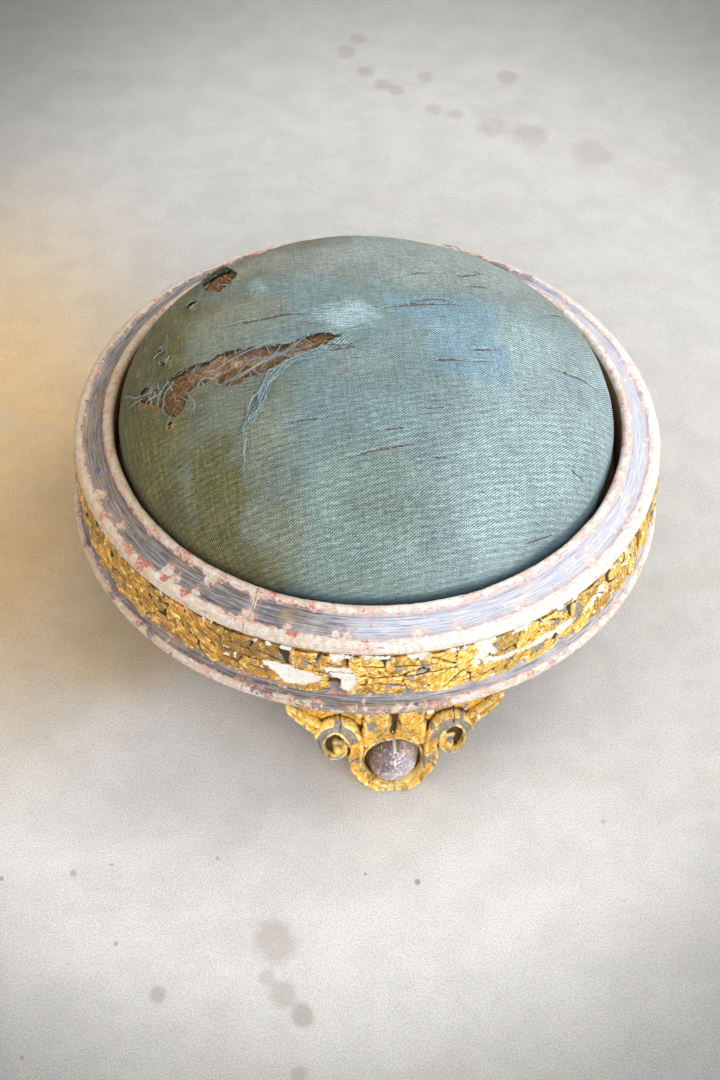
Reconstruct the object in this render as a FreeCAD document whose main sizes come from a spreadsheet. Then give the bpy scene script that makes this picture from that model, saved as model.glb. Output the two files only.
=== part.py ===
"""Round gilt footstool: a two-course ring on three carved feet, with a loose domed pad."""

import FreeCAD, Part
import math
import os
import Sketcher

doc = FreeCAD.newDocument("Footstool")

# Driving dimensions in millimetres, degrees and counts
DIMENSIONS = [
    ("foot_height", 80.0, "floor to the underside of the ring"),
    ("lower_course_height", 32.0, "lower ring of felloes"),
    ("upper_course_height", 36.0, "upper ring of felloes, up to the crest of the rim"),
    ("pad_clearance", 3.5, "gap all round the pad when it is centred"),
    ("ledge_width", 15.5, "ledge of the lower course under the pad"),
    ("rim_width", 26.5, "from the opening's wall to the rim's outermost line"),
    ("inner_bead_radius", 3.7, "bead round the opening"),
    ("outer_bead_radius", 5.0, "bead at the rim's edge"),
    ("outer_bead_drop", 13.5, "outer bead's centre below the crest"),
    ("quirk_depth", 0.8, "step between the inner bead and the cove"),
    ("quirk_width", 0.8, "width of that step"),
    ("base_overhang", 6.0, "base bead's outermost line beyond the rim"),
    ("base_bead_radius", 4.0, "bead along the bottom of the ring"),
    ("base_fillet_width", 1.5, "flat from the base bead's centre line in to its cove"),
    ("base_cove_height", 5.0, "cove between the base bead and the frieze"),
    ("base_cove_depth", 2.5, "how far that cove reaches in"),
    ("frieze_belly", 0.4, "bulge of the frieze's ground at the course joint"),
    ("garland_relief", 4.6, "leaf garland's height over the ground"),
    ("garland_edge", 1.2, "thickness of the garland along its edges"),
    ("garland_margin", 1.6, "bare ground above and below the garland"),
    ("garland_valley", 1.5, "garland's dip between its two rows of leaves"),
    ("garland_seat_gap", 0.15, "glue line behind the garland"),
    ("leaf_notch_width", 5.5, "notch between two leaves at the garland's edge"),
    ("leaf_notch_lean", 6.0, "how far a notch runs along the garland"),
    ("leaf_notch_floor", 1.3, "garland left under a notch"),
    ("dowel_radius", 4.0, "dowels of the ring and of the feet"),
    ("dowel_depth", 12.0, "a dowel's depth in each piece"),
    ("dowel_end_gap", 1.0, "free length of a dowel hole at each end"),
    ("upper_end_dowel_height", 11.0, "end dowel above the course joint"),
    ("lower_end_dowel_height", 15.0, "end dowel above the ring's underside"),
    ("course_dowel_inset", 10.0, "course dowels in from the opening's wall line"),
    ("foot_set_back", 15.0, "foot's face at its top, in from the base bead's outermost line"),
    ("foot_slab_depth", 20.0, "thickness of the carved slab"),
    ("foot_core_depth", 31.0, "thickness of the foot's middle"),
    ("foot_core_width", 48.0, "width of the foot's middle"),
    ("foot_core_height", 18.0, "lower end of the foot's middle, above the floor"),
    ("foot_sole_width", 26.0, "width of the flat sole"),
    ("foot_belly_width", 56.8, "width across the band beside the boss"),
    ("foot_ear_width", 132.0, "width across the ears under the ring"),
    ("foot_ear_height", 9.0, "height of an ear's outer end"),
    ("boss_height", 24.5, "boss centre above the floor"),
    ("boss_radius", 14.8, "half-round boss"),
    ("boss_set_depth", 3.0, "boss centre behind the foot's face"),
    ("boss_recess_radius", 18.4, "sunk ring round the boss"),
    ("boss_recess_depth", 4.0, "depth of that ring"),
    ("volute_spacing", 69.0, "distance between the volutes' eyes"),
    ("volute_height", 40.0, "volute centre above the floor"),
    ("volute_radius", 11.6, "outer radius of a volute"),
    ("volute_proud", 3.2, "volute's height over the slab"),
    ("volute_eye_radius", 3.0, "bead in a volute's eye"),
    ("volute_channel", 3.4, "width of the channel round the eye"),
    ("volute_channel_depth", 4.5, "depth of that channel"),
    ("lobe_height", 60.5, "leaf lobe centre above the floor"),
    ("lobe_spacing", 21.0, "distance between the two lobes"),
    ("lobe_half_width", 9.2, "half width of a lobe"),
    ("lobe_half_height", 18.0, "half height of a lobe"),
    ("lobe_set_depth", 1.5, "lobe centre behind the slab's face"),
    ("foot_dowel_spacing", 30.0, "distance between a foot's two dowels"),
    ("foot_dowel_inset", 15.0, "foot dowels behind the foot's face"),
    ("pad_radius", 160.0, "pad at its fullest"),
    ("pad_shift", 1.0, "how far the loose pad sits off centre"),
    ("pad_side_height", 27.0, "pad's fullest line above its seat"),
    ("pad_draw_in", 1.0, "cloth drawn in at the pad's lower edge"),
    ("pad_corner_radius", 42.0, "roundness of the dome's side"),
    ("pad_shoulder_radius", 99.0, "roundness of the dome's shoulder"),
    ("cloth_thickness", 1.2, "top cover"),
    ("cloth_turn_under", 21.0, "cloth turned under the pad's frame"),
    ("soft_gap", 0.3, "clearance of a soft piece"),
    ("wadding_thickness", 3.0, "wadding under the cloth"),
    ("pad_rail_width", 36.0, "width of the pad's wooden ring"),
    ("pad_rail_thickness", 18.0, "thickness of that ring"),
    ("pad_dowel_radius", 3.0, "dowels of the pad's ring"),
    ("webbing_width", 50.0, "width of a web"),
    ("webbing_thickness", 1.2, "thickness of a web"),
    ("webbing_edge", 4.0, "wood left outside the ends of the webs"),
    ("hessian_thickness", 0.8, "base cloth over the webs"),
    ("tack_head_radius", 3.2, "tack's head"),
    ("tack_head_height", 0.9, "thickness of the head"),
    ("tack_shank_radius", 0.8, "tack's shank"),
    ("tack_shank_length", 11.0, "shank from under the head to its point"),
    ("cover_tack_inset", 16.5, "cover tacks in from the pad's fullest line"),
    ("web_tack_inset", 4.5, "web tacks in from the end of a web"),
    ("web_tack_spacing", 16.0, "distance between tacks at a web's end"),
    ("outer_bead_quirk_angle", 45.0, "where the cove meets the outer bead, up from level"),
    ("volute_low_angle", -125.0, "where the foot's band meets the volute"),
    ("volute_high_angle", 40.0, "where the ear leaves the volute"),
    ("foot_lean_angle", 8.0, "lean of the foot's face"),
    ("pad_corner_angle", 45.0, "steepness where the dome's side meets its shoulder"),
    ("pad_crown_angle", 11.8, "steepness where the shoulder meets the crown"),
    ("joint_angle", -118.0, "the joint that both courses share"),
    ("garland_joint_angle", -122.0, "first joint of the garland"),
    ("foot_angle", -90.0, "front foot"),
    ("upper_felloe_count", 4, "felloes in the upper course"),
    ("lower_felloe_count", 3, "felloes in the lower course"),
    ("garland_count", 4, "sections of the garland"),
    ("leaves_per_section", 12, "leaves of one row in a section"),
    ("course_dowel_count", 12, "dowels between the courses"),
    ("foot_count", 3, "feet"),
    ("pad_rail_count", 4, "pieces of the pad's ring"),
    ("web_count", 3, "webs each way"),
    ("tacks_per_web_end", 3, "tacks at a web's end"),
    ("cover_tack_count", 24, "tacks under the pad"),
]

sheet = doc.addObject("Spreadsheet::Sheet", "Dims")
for row, (alias, value, note) in enumerate(DIMENSIONS, start=1):
    sheet.set(f"A{row}", note)
    sheet.set(f"B{row}", str(value))
    sheet.setAlias(f"B{row}", alias)
doc.recompute()

FULL_TURN = 360.0
HALF_TURN = 180.0
QUARTER_TURN = 90.0
COVE_BOW_SHARE = 0.62
BELLY_BOW_SHARE = 1.134
EAR_BOW_SHARE = 0.8
GARLAND_BOW_SHARE = 0.56
WEB_PITCH_SHARE = 0.47

# Torn openings in the cloth, seen from above, as shares of the pad's radius
TEAR_SHARES = {
    "main": (
        (-0.774, -0.054), (-0.622, -0.028), (-0.486, -0.001), (-0.318, -0.014),
        (-0.179, 0.030), (-0.100, 0.004), (-0.241, -0.071), (-0.399, -0.143),
        (-0.541, -0.183), (-0.606, -0.148), (-0.680, -0.149), (-0.723, -0.241),
        (-0.751, -0.259), (-0.825, -0.139),
    ),
    "back": (
        (-0.638, 0.525), (-0.600, 0.600), (-0.544, 0.631), (-0.506, 0.606),
        (-0.494, 0.538), (-0.556, 0.419), (-0.625, 0.475),
    ),
    "side": ((-0.863, -0.013), (-0.893, -0.050), (-0.864, -0.128), (-0.849, -0.077)),
}


class Size:
    """A length of the sheet or a sum of lengths: its number and the expression for it."""

    def __init__(self, value, text):
        self.value = value
        self.text = text

    def __add__(self, other):
        return Size(self.value + other.value, f"({self.text} + {other.text})")

    def __sub__(self, other):
        return Size(self.value - other.value, f"({self.text} - {other.text})")

    def __mul__(self, factor):
        return Size(self.value * factor, f"({self.text} * {factor:.15f})")

    def __neg__(self):
        return self * -1.0

    def half(self):
        return self * 0.5


class Sheet:
    """The sheet's sizes, read by their aliases."""

    def __getattr__(self, alias):
        return Size(float(sheet.get(alias)), "Dims." + alias)


dim = Sheet()
ZERO = Size(0.0, "0")


def angle(alias):
    return float(sheet.get(alias))


def count(alias):
    return int(sheet.get(alias))


def cosine(degrees):
    return math.cos(math.radians(degrees))


def sine(degrees):
    return math.sin(math.radians(degrees))


# Heights and radii that several pieces share
opening_radius = dim.pad_radius + dim.pad_clearance
rim_radius = opening_radius + dim.rim_width
base_radius = rim_radius + dim.base_overhang
foot_head_radius = base_radius - dim.foot_set_back
ring_bottom = dim.foot_height
course_joint = ring_bottom + dim.lower_course_height
crest = course_joint + dim.upper_course_height
ledge_radius = opening_radius - dim.ledge_width
outer_bead_centre = rim_radius - dim.outer_bead_radius
outer_bead_height = crest - dim.outer_bead_drop
frieze_top = outer_bead_height - dim.outer_bead_radius
base_bead_centre = base_radius - dim.base_bead_radius
base_bead_top = ring_bottom + dim.base_bead_radius * 2.0
frieze_bottom = base_bead_top + dim.base_cove_height
base_fillet = base_bead_centre - dim.base_fillet_width
ground_bottom_radius = base_fillet - dim.base_cove_depth
ground_top_radius = outer_bead_centre
ground_joint_radius = (ground_bottom_radius + ground_top_radius).half() + dim.frieze_belly
course_dowel_circle = opening_radius + dim.course_dowel_inset
lower_end_dowel_radius = (ledge_radius + ground_joint_radius).half()
pad_seat = course_joint + dim.soft_gap
pad_side = pad_seat + dim.pad_side_height
rail_bottom = pad_seat + dim.cloth_thickness
rail_top = rail_bottom + dim.pad_rail_thickness
rail_outer = dim.pad_radius - dim.pad_draw_in - dim.cloth_thickness - dim.soft_gap
rail_inner = rail_outer - dim.pad_rail_width
rail_middle = (rail_outer + rail_inner).half()
web_reach = rail_outer - dim.webbing_edge
webs_top = rail_top + dim.webbing_thickness * 2.0
hessian_bottom = webs_top + dim.tack_head_height
hessian_top = hessian_bottom + dim.hessian_thickness
dowel_length = (dim.dowel_depth - dim.dowel_end_gap) * 2.0
webbing_pitch = dim.pad_radius * WEB_PITCH_SHARE


def new_body(label, turn=0.0, shift=ZERO):
    """A body turned about the stool's axis, and moved aside where its piece is loose."""
    body = doc.addObject("PartDesign::Body", label)
    body.Label = label
    body.Placement = FreeCAD.Placement(
        FreeCAD.Vector(shift.value, 0, 0),
        FreeCAD.Rotation(FreeCAD.Vector(0, 0, 1), turn),
    )
    if shift is not ZERO:
        body.setExpression("Placement.Base.x", shift.text)
    return body


def origin_part(body, role):
    return [feature for feature in body.Origin.OriginFeatures if feature.Role == role][0]


def new_sketch(body, name, role, lift=ZERO, lean=0.0):
    """A sketch on one of the body's own planes, lifted off it and leant about its level line."""
    sketch = body.newObject("Sketcher::SketchObject", body.Label + "_" + name)
    sketch.AttachmentSupport = [(origin_part(body, role), "")]
    sketch.MapMode = "FlatFace"
    sketch.AttachmentOffset = FreeCAD.Placement(
        FreeCAD.Vector(0, 0, lift.value),
        FreeCAD.Rotation(FreeCAD.Vector(1, 0, 0), -lean),
    )
    if lift is not ZERO:
        sketch.setExpression("AttachmentOffset.Base.z", lift.text)
    return sketch


def hold(sketch, kind, first, *rest):
    """A constraint, bound to its size if it has one."""
    if isinstance(rest[-1], Size):
        size = rest[-1]
        index = sketch.addConstraint(Sketcher.Constraint(kind, first, *rest[:-1], size.value))
        sketch.setExpression(f"Constraints[{index}]", size.text)
    else:
        sketch.addConstraint(Sketcher.Constraint(kind, first, *rest))


def hold_point(sketch, side, end, across, up):
    """A point at its two sizes from the sketch's origin."""
    if across is ZERO:
        hold(sketch, "PointOnObject", side, end, -2)
    else:
        hold(sketch, "DistanceX", -1, 1, side, end, across)
    if up is ZERO:
        hold(sketch, "PointOnObject", side, end, -1)
    else:
        hold(sketch, "DistanceY", -1, 1, side, end, up)


def arc_between(start, end, radius, turn):
    """The short arc from start to end: counter-clockwise where turn is 1, clockwise at -1."""
    chord = end - start
    rise = math.sqrt(radius * radius - chord.Length * chord.Length / 4.0)
    normal = FreeCAD.Vector(-chord.y, chord.x, 0).normalize()
    centre = (start + end) * 0.5 + normal * (rise * turn)
    first, last = (start, end) if turn > 0 else (end, start)
    opening = math.atan2(first.y - centre.y, first.x - centre.x)
    closing = math.atan2(last.y - centre.y, last.x - centre.x)
    circle = Part.Circle(centre, FreeCAD.Vector(0, 0, 1), radius)
    return Part.ArcOfCircle(circle, opening, closing)


def crown_radius(start, top):
    """Radius of the arc that starts at one point and is level at the top, on the axis."""
    rise = top.y - start.y
    return (start.x * start.x + rise * rise) / (2.0 * rise)


def draw_outline(sketch, corners):
    """A closed outline. A corner with a radius and a turn starts an arc, any other a line.

    An arc with the word crown for its radius has its centre on the vertical axis.
    """
    spots = [FreeCAD.Vector(corner[0].value, corner[1].value, 0) for corner in corners]
    ends = []
    for index, corner in enumerate(corners):
        start = spots[index]
        end = spots[(index + 1) % len(corners)]
        if len(corner) == 2:
            side = sketch.addGeometry(Part.LineSegment(start, end), False)
            ends.append((side, 1, 2))
        else:
            radius, turn = corner[2:]
            if radius == "crown":
                low, top = (start, end) if turn > 0 else (end, start)
                arc = arc_between(start, end, crown_radius(low, top), turn)
                side = sketch.addGeometry(arc, False)
                hold(sketch, "PointOnObject", side, 3, -2)
            else:
                side = sketch.addGeometry(arc_between(start, end, radius.value, turn), False)
                hold(sketch, "Radius", side, radius)
            ends.append((side, 1, 2) if turn > 0 else (side, 2, 1))
    for index, corner in enumerate(corners):
        side, start, _ = ends[index]
        before, _, end = ends[index - 1]
        hold(sketch, "Coincident", before, end, side, start)
        hold_point(sketch, side, start, corner[0], corner[1])


def draw_circle(sketch, across, up, radius):
    circle = Part.Circle(
        FreeCAD.Vector(across.value, up.value, 0), FreeCAD.Vector(0, 0, 1), radius.value
    )
    ring = sketch.addGeometry(circle, False)
    hold(sketch, "Radius", ring, radius)
    hold_point(sketch, ring, 3, across, up)


def turn_section(body, corners, degrees):
    """A section in the body's front plane, turned about the stool's axis."""
    sketch = new_sketch(body, "section", "XZ_Plane")
    draw_outline(sketch, corners)
    turned = body.newObject("PartDesign::Revolution", body.Label + "_turned")
    turned.Profile = sketch
    turned.ReferenceAxis = (sketch, ["V_Axis"])
    turned.Angle = degrees
    return turned


def repeat(body, feature, degrees, copies):
    """Copies of a feature round the stool's axis."""
    pattern = body.newObject("PartDesign::PolarPattern", feature.Name + "_row")
    pattern.Originals = [feature]
    pattern.Axis = (origin_part(body, "Z_Axis"), [""])
    pattern.Angle = degrees
    pattern.Occurrences = copies
    body.Tip = pattern


def drill(body, name, role, lift, spots, radius, depth):
    """Dowel holes to an equal depth on both sides of a joint's plane."""
    sketch = new_sketch(body, name, role, lift)
    for across, up in spots:
        draw_circle(sketch, across, up, radius)
    hole = body.newObject("PartDesign::Pocket", body.Label + "_" + name + "_hole")
    hole.Profile = sketch
    hole.SideType = "Symmetric"
    hole.setExpression("Length", (depth * 2.0).text)
    body.Tip = hole
    return hole


def upper_felloe_section():
    """Opening wall, inner bead, cove, outer bead and the frieze's ground."""
    bead = dim.inner_bead_radius
    bead_centre = opening_radius + bead
    bead_height = crest - bead
    cove_start = (bead_centre + bead + dim.quirk_width, bead_height - dim.quirk_depth)
    edge = dim.outer_bead_radius
    quirk_angle = angle("outer_bead_quirk_angle")
    cove_end = (
        outer_bead_centre - edge * cosine(quirk_angle),
        outer_bead_height + edge * sine(quirk_angle),
    )
    cove_bow = (cove_end[0] - cove_start[0] + cove_start[1] - cove_end[1]) * COVE_BOW_SHARE
    return [
        (opening_radius, course_joint),
        (opening_radius, bead_height, bead, -1),
        (bead_centre, crest, bead, -1),
        (bead_centre + bead, bead_height),
        (bead_centre + bead, cove_start[1]),
        (*cove_start, cove_bow, 1),
        (*cove_end, edge, -1),
        (rim_radius, outer_bead_height, edge, -1),
        (outer_bead_centre, frieze_top),
        (ground_joint_radius, course_joint),
    ]


def lower_felloe_section():
    """Ledge, frieze's ground, cove and base bead."""
    bead = dim.base_bead_radius
    cove_bow = (dim.base_cove_height + dim.base_cove_depth) * COVE_BOW_SHARE
    return [
        (ledge_radius, ring_bottom),
        (ledge_radius, course_joint),
        (ground_joint_radius, course_joint),
        (ground_bottom_radius, frieze_bottom, cove_bow, 1),
        (base_fillet, base_bead_top),
        (base_bead_centre, base_bead_top, bead, -1),
        (base_radius, ring_bottom + bead, bead, -1),
        (base_bead_centre, ring_bottom),
    ]


def make_upper_felloe(index):
    span = FULL_TURN / count("upper_felloe_count")
    body = new_body(f"upper_felloe_{index + 1}", angle("joint_angle") + index * span)
    turn_section(body, upper_felloe_section(), span)
    end_spot = (course_dowel_circle, course_joint + dim.upper_end_dowel_height)
    add_felloe_holes(body, end_spot, span)
    return body


def make_lower_felloe(index):
    span = FULL_TURN / count("lower_felloe_count")
    turn = angle("joint_angle") + index * span
    body = new_body(f"lower_felloe_{index + 1}", turn)
    turn_section(body, lower_felloe_section(), span)
    end_spot = (lower_end_dowel_radius, ring_bottom + dim.lower_end_dowel_height)
    add_felloe_holes(body, end_spot, span)
    spots = []
    for spot_radius, spot_angle in foot_dowel_spots():
        here = spot_angle + angle("foot_angle") - angle("joint_angle")
        spots.append((spot_radius * cosine(here), spot_radius * sine(here)))
    drill(body, "foot_dowels", "XY_Plane", ring_bottom, spots, dim.dowel_radius, dim.dowel_depth)
    return body


def add_felloe_holes(body, end_spot, span):
    """A dowel hole in each end, and a row of holes in the face at the course joint."""
    hole = drill(body, "end", "XZ_Plane", ZERO, [end_spot], dim.dowel_radius, dim.dowel_depth)
    repeat(body, hole, span, 2)
    pitch = FULL_TURN / count("course_dowel_count")
    first = (course_dowel_circle * cosine(pitch / 2.0), course_dowel_circle * sine(pitch / 2.0))
    hole = drill(
        body, "course", "XY_Plane", course_joint, [first], dim.dowel_radius, dim.dowel_depth
    )
    repeat(body, hole, span - pitch, round(span / pitch))


def foot_dowel_spots():
    """Radius and angle of a foot's two dowels, from the middle of the foot."""
    back = foot_head_radius - dim.foot_dowel_inset
    aside = dim.foot_dowel_spacing.half()
    reach = math.hypot(back.value, aside.value)
    spread = math.degrees(math.atan2(aside.value, back.value))
    radius = Size(reach, f"sqrt({back.text} ^ 2 + {aside.text} ^ 2)")
    return [(radius, -spread), (radius, spread)]


def make_dowels(label, pins):
    """A group of dowels. A pin has its middle, its direction, its radius and its length."""
    parts = []
    for index, (middle, direction, radius, length) in enumerate(pins):
        pin = doc.addObject("Part::Cylinder", f"{label}_{index + 1}")
        pin.setExpression("Radius", radius.text)
        pin.setExpression("Height", length.text)
        pin.Placement = FreeCAD.Placement(
            FreeCAD.Vector(0, 0, 0),
            FreeCAD.Rotation(FreeCAD.Vector(0, 0, 1), FreeCAD.Vector(*direction)),
        )
        for axis, place, part in zip("xyz", middle, direction):
            start = place - length * (part / 2.0)
            pin.setExpression(f"Placement.Base.{axis}", start.text)
        parts.append(pin)
    group = doc.addObject("Part::Compound", label)
    group.Label = label
    group.Links = parts
    return group


def level_pins(first_angle, copies, radius, height, pin_radius, pin_length, shift=ZERO):
    """Pins along the ring, across the joints between its pieces."""
    pins = []
    for index in range(copies):
        here = first_angle + index * FULL_TURN / copies
        middle = (radius * cosine(here) + shift, radius * sine(here), height)
        pins.append((middle, (-sine(here), cosine(here), 0.0), pin_radius, pin_length))
    return pins


def upright_pins(spots, height):
    """Pins that stand across a level joint."""
    pins = []
    for radius, here in spots:
        middle = (radius * cosine(here), radius * sine(here), height)
        pins.append((middle, (0.0, 0.0, 1.0), dim.dowel_radius, dowel_length))
    return pins


def make_felloe_end_dowels():
    upper = level_pins(
        angle("joint_angle"), count("upper_felloe_count"), course_dowel_circle,
        course_joint + dim.upper_end_dowel_height, dim.dowel_radius, dowel_length,
    )
    lower = level_pins(
        angle("joint_angle"), count("lower_felloe_count"), lower_end_dowel_radius,
        ring_bottom + dim.lower_end_dowel_height, dim.dowel_radius, dowel_length,
    )
    return make_dowels("felloe_end_dowels", upper + lower)


def make_course_dowels():
    pitch = FULL_TURN / count("course_dowel_count")
    spots = []
    for index in range(count("course_dowel_count")):
        spots.append((course_dowel_circle, angle("joint_angle") + (index + 0.5) * pitch))
    return make_dowels("course_dowels", upright_pins(spots, course_joint))


def make_foot_dowels():
    spots = []
    for index in range(count("foot_count")):
        middle = angle("foot_angle") + index * FULL_TURN / count("foot_count")
        spots.extend((radius, middle + spread) for radius, spread in foot_dowel_spots())
    return make_dowels("foot_dowels", upright_pins(spots, ring_bottom))


def garland_section():
    """Back on the ground, and a swelling for each of the two rows of leaves."""
    seat = dim.garland_seat_gap
    top = frieze_top - dim.garland_margin
    bottom = frieze_bottom + dim.garland_margin
    back_top = ground_top_radius + dim.frieze_belly.half() + seat
    back_joint = ground_joint_radius + seat
    back_bottom = ground_bottom_radius + seat
    valley = back_joint + dim.garland_relief - dim.garland_valley
    upper_bow = (top - course_joint) * GARLAND_BOW_SHARE
    lower_bow = (course_joint - bottom) * GARLAND_BOW_SHARE
    return [
        (back_bottom, bottom),
        (back_bottom + dim.garland_edge, bottom, lower_bow, 1),
        (valley, course_joint, upper_bow, 1),
        (back_top + dim.garland_edge, top),
        (back_top, top),
        (back_joint, course_joint),
    ]


def make_garland(index):
    """A section of the leaf garland, with notches between its leaves."""
    span = FULL_TURN / count("garland_count")
    body = new_body(f"leaf_garland_{index + 1}", angle("garland_joint_angle") + index * span)
    turn_section(body, garland_section(), span)
    pitch = span / count("leaves_per_section")
    floor = ground_joint_radius + dim.garland_seat_gap + dim.leaf_notch_floor
    sketch = new_sketch(body, "notches", "YZ_Plane", floor)
    along = floor * math.tan(math.radians(pitch / 2.0))
    upper_row = (frieze_top, course_joint + dim.garland_valley)
    lower_row = (frieze_bottom, course_joint - dim.garland_valley)
    for edge, root in (upper_row, lower_row):
        draw_outline(sketch, [
            (along - dim.leaf_notch_width.half(), edge),
            (along + dim.leaf_notch_width.half(), edge),
            (along - dim.leaf_notch_lean, root),
        ])
    notch = body.newObject("PartDesign::Pocket", body.Label + "_notch")
    notch.Profile = sketch
    notch.Reversed = True
    notch.setExpression("Length", (dim.garland_relief * 2.0).text)
    body.Tip = notch
    repeat(body, notch, span - pitch, count("leaves_per_section"))
    return body


def up_the_face(height):
    """A height above the floor, measured along the leaning face of the foot."""
    return height * (1.0 / cosine(angle("foot_lean_angle")))


def face_radius(height):
    """The leaning face's distance from the stool's axis at a height above the floor."""
    slope = math.tan(math.radians(angle("foot_lean_angle")))
    return foot_head_radius + (dim.foot_height - height) * slope


def foot_outline():
    """Right half of the foot's face from the sole up, then the mirrored left half."""
    eye = dim.volute_spacing.half()
    roll = dim.volute_radius
    volute = up_the_face(dim.volute_height)
    sole = dim.foot_sole_width.half()
    belly = dim.foot_belly_width.half()
    low, high = angle("volute_low_angle"), angle("volute_high_angle")
    meet = (eye + roll * cosine(low), volute + roll * sine(low))
    leave = (eye + roll * cosine(high), volute + roll * sine(high))
    top = up_the_face(dim.foot_height)
    ear = (dim.foot_ear_width.half(), top - dim.foot_ear_height)
    belly_bow = (belly - sole + up_the_face(dim.boss_height)) * BELLY_BOW_SHARE
    ear_bow = (ear[0] - leave[0] + ear[1] - leave[1]) * EAR_BOW_SHARE
    right = [
        (sole, ZERO, belly_bow, 1),
        (*meet, roll, 1),
        (*leave, ear_bow, -1),
        (*ear,),
        (ear[0], top),
    ]
    left = [
        (-ear[0], top),
        (-ear[0], ear[1], ear_bow, -1),
        (-leave[0], leave[1], roll, 1),
        (-meet[0], meet[1], belly_bow, 1),
        (-sole, ZERO),
    ]
    return right + left


def add_slab(body, name, kind, outline, circles, depth, inwards, lift=ZERO):
    """Material added or cut level from the foot's leaning face."""
    toe = face_radius(ZERO)
    sketch = new_sketch(body, name, "XZ_Plane", toe + lift, angle("foot_lean_angle"))
    if outline:
        draw_outline(sketch, outline)
    for circle in circles:
        draw_circle(sketch, *circle)
    feature = body.newObject(kind, body.Label + "_" + name + "_feature")
    feature.Profile = sketch
    feature.UseCustomVector = True
    feature.Direction = FreeCAD.Vector(0, 1 if inwards else -1, 0)
    feature.AlongSketchNormal = False
    feature.setExpression("Length", depth.text)
    body.Tip = feature
    return feature


def add_lobe(body, name, across):
    """A leaf lobe, pointed at both ends and half round, with its flat back in the slab."""
    lift = face_radius(ZERO) - dim.lobe_set_depth
    sketch = new_sketch(body, name, "XZ_Plane", lift, angle("foot_lean_angle"))
    high, wide = dim.lobe_half_height, dim.lobe_half_width
    middle = up_the_face(dim.lobe_height)
    bow = Size(
        (high.value ** 2 + wide.value ** 2) / (2.0 * wide.value),
        f"(({high.text} ^ 2 + {wide.text} ^ 2) / (2 * {wide.text}))",
    )
    draw_outline(sketch, [(across, middle - high, bow, 1), (across, middle + high)])
    lobe = body.newObject("PartDesign::Revolution", body.Label + "_" + name + "_turned")
    lobe.Profile = sketch
    lobe.ReferenceAxis = (sketch, ["Edge2"])
    lobe.Angle = HALF_TURN
    body.Tip = lobe


def make_foot(index):
    """Carved slab with volutes, a boss in a sunk ring, and two leaf lobes."""
    turn = index * FULL_TURN / count("foot_count")
    body = new_body(f"foot_{index + 1}", turn)
    pad, pocket = "PartDesign::Pad", "PartDesign::Pocket"
    add_slab(body, "slab", pad, foot_outline(), [], dim.foot_slab_depth, True)
    side = dim.foot_core_width.half()
    top = up_the_face(dim.foot_height)
    shin = up_the_face(dim.foot_core_height)
    core = [(side, shin), (side, top), (-side, top), (-side, shin)]
    add_slab(body, "core", pad, core, [], dim.foot_core_depth, True)
    volute = up_the_face(dim.volute_height)
    eye = dim.volute_spacing.half()
    rolls = [(eye, volute, dim.volute_radius), (-eye, volute, dim.volute_radius)]
    add_slab(body, "volutes", pad, None, rolls, dim.volute_proud, False)
    outer = dim.volute_eye_radius + dim.volute_channel
    channels = []
    for place in (eye, -eye):
        channels.append((place, volute, outer))
        channels.append((place, volute, dim.volute_eye_radius))
    add_slab(
        body, "channels", pocket, None, channels, dim.volute_channel_depth, True,
        dim.volute_proud,
    )
    for side_name, way in (("left", -1.0), ("right", 1.0)):
        add_lobe(body, side_name + "_lobe", dim.lobe_spacing.half() * way)
    recess = [(ZERO, up_the_face(dim.boss_height), dim.boss_recess_radius)]
    proud = dim.lobe_half_width
    add_slab(
        body, "recess", pocket, None, recess, dim.boss_recess_depth + proud, True, proud
    )
    boss = body.newObject("PartDesign::AdditiveSphere", body.Label + "_boss")
    boss.Placement = FreeCAD.Placement(
        FreeCAD.Vector(0, 0, 0), FreeCAD.Rotation(FreeCAD.Vector(1, 0, 0), QUARTER_TURN)
    )
    boss.setExpression("Radius", dim.boss_radius.text)
    boss.setExpression("Placement.Base.y", (dim.boss_set_depth - face_radius(dim.boss_height)).text)
    boss.setExpression("Placement.Base.z", dim.boss_height.text)
    body.Tip = boss
    back = dim.foot_dowel_inset - foot_head_radius
    aside = dim.foot_dowel_spacing.half()
    spots = [(aside, back), (-aside, back)]
    drill(body, "dowels", "XY_Plane", dim.foot_height, spots, dim.dowel_radius, dim.dowel_depth)
    return body


def dome_top(inset):
    """Outer line of the pad from its fullest point up to the axis, drawn in by an inset."""
    corner_angle = angle("pad_corner_angle")
    crown_angle = angle("pad_crown_angle")
    corner = dim.pad_corner_radius
    shoulder = dim.pad_shoulder_radius
    corner_centre = dim.pad_radius - corner
    corner_end = corner_centre + corner * cosine(90.0 - corner_angle)
    shoulder_centre = corner_centre - (shoulder - corner) * sine(corner_angle)
    shoulder_low = pad_side - (shoulder - corner) * cosine(corner_angle)
    crown = (shoulder_centre + shoulder * sine(crown_angle)) * (1.0 / sine(crown_angle))
    crown_low = shoulder_low - (crown - shoulder) * cosine(crown_angle)
    corner, shoulder, crown = corner - inset, shoulder - inset, crown - inset
    return [
        (dim.pad_radius - inset, pad_side, corner, 1),
        (corner_centre + corner * sine(corner_angle), pad_side + corner * cosine(corner_angle),
         shoulder, 1),
        (shoulder_centre + shoulder * sine(crown_angle),
         shoulder_low + shoulder * cosine(crown_angle), "crown", 1),
        (ZERO, crown_low + crown),
    ]


def shell_section(outer_inset, inner_inset, outer_foot, inner_foot):
    """A dome-shaped shell between two insets, from the corners of its lower edge."""
    outer = dome_top(outer_inset)
    inner = []
    backwards = dome_top(inner_inset)[::-1]
    for place, corner in enumerate(backwards):
        bend = backwards[place + 1][2:] if place + 1 < len(backwards) else ()
        inner.append((corner[0], corner[1], *((bend[0], -bend[1]) if bend else ())))
    return outer_foot + outer + inner + inner_foot


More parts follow.
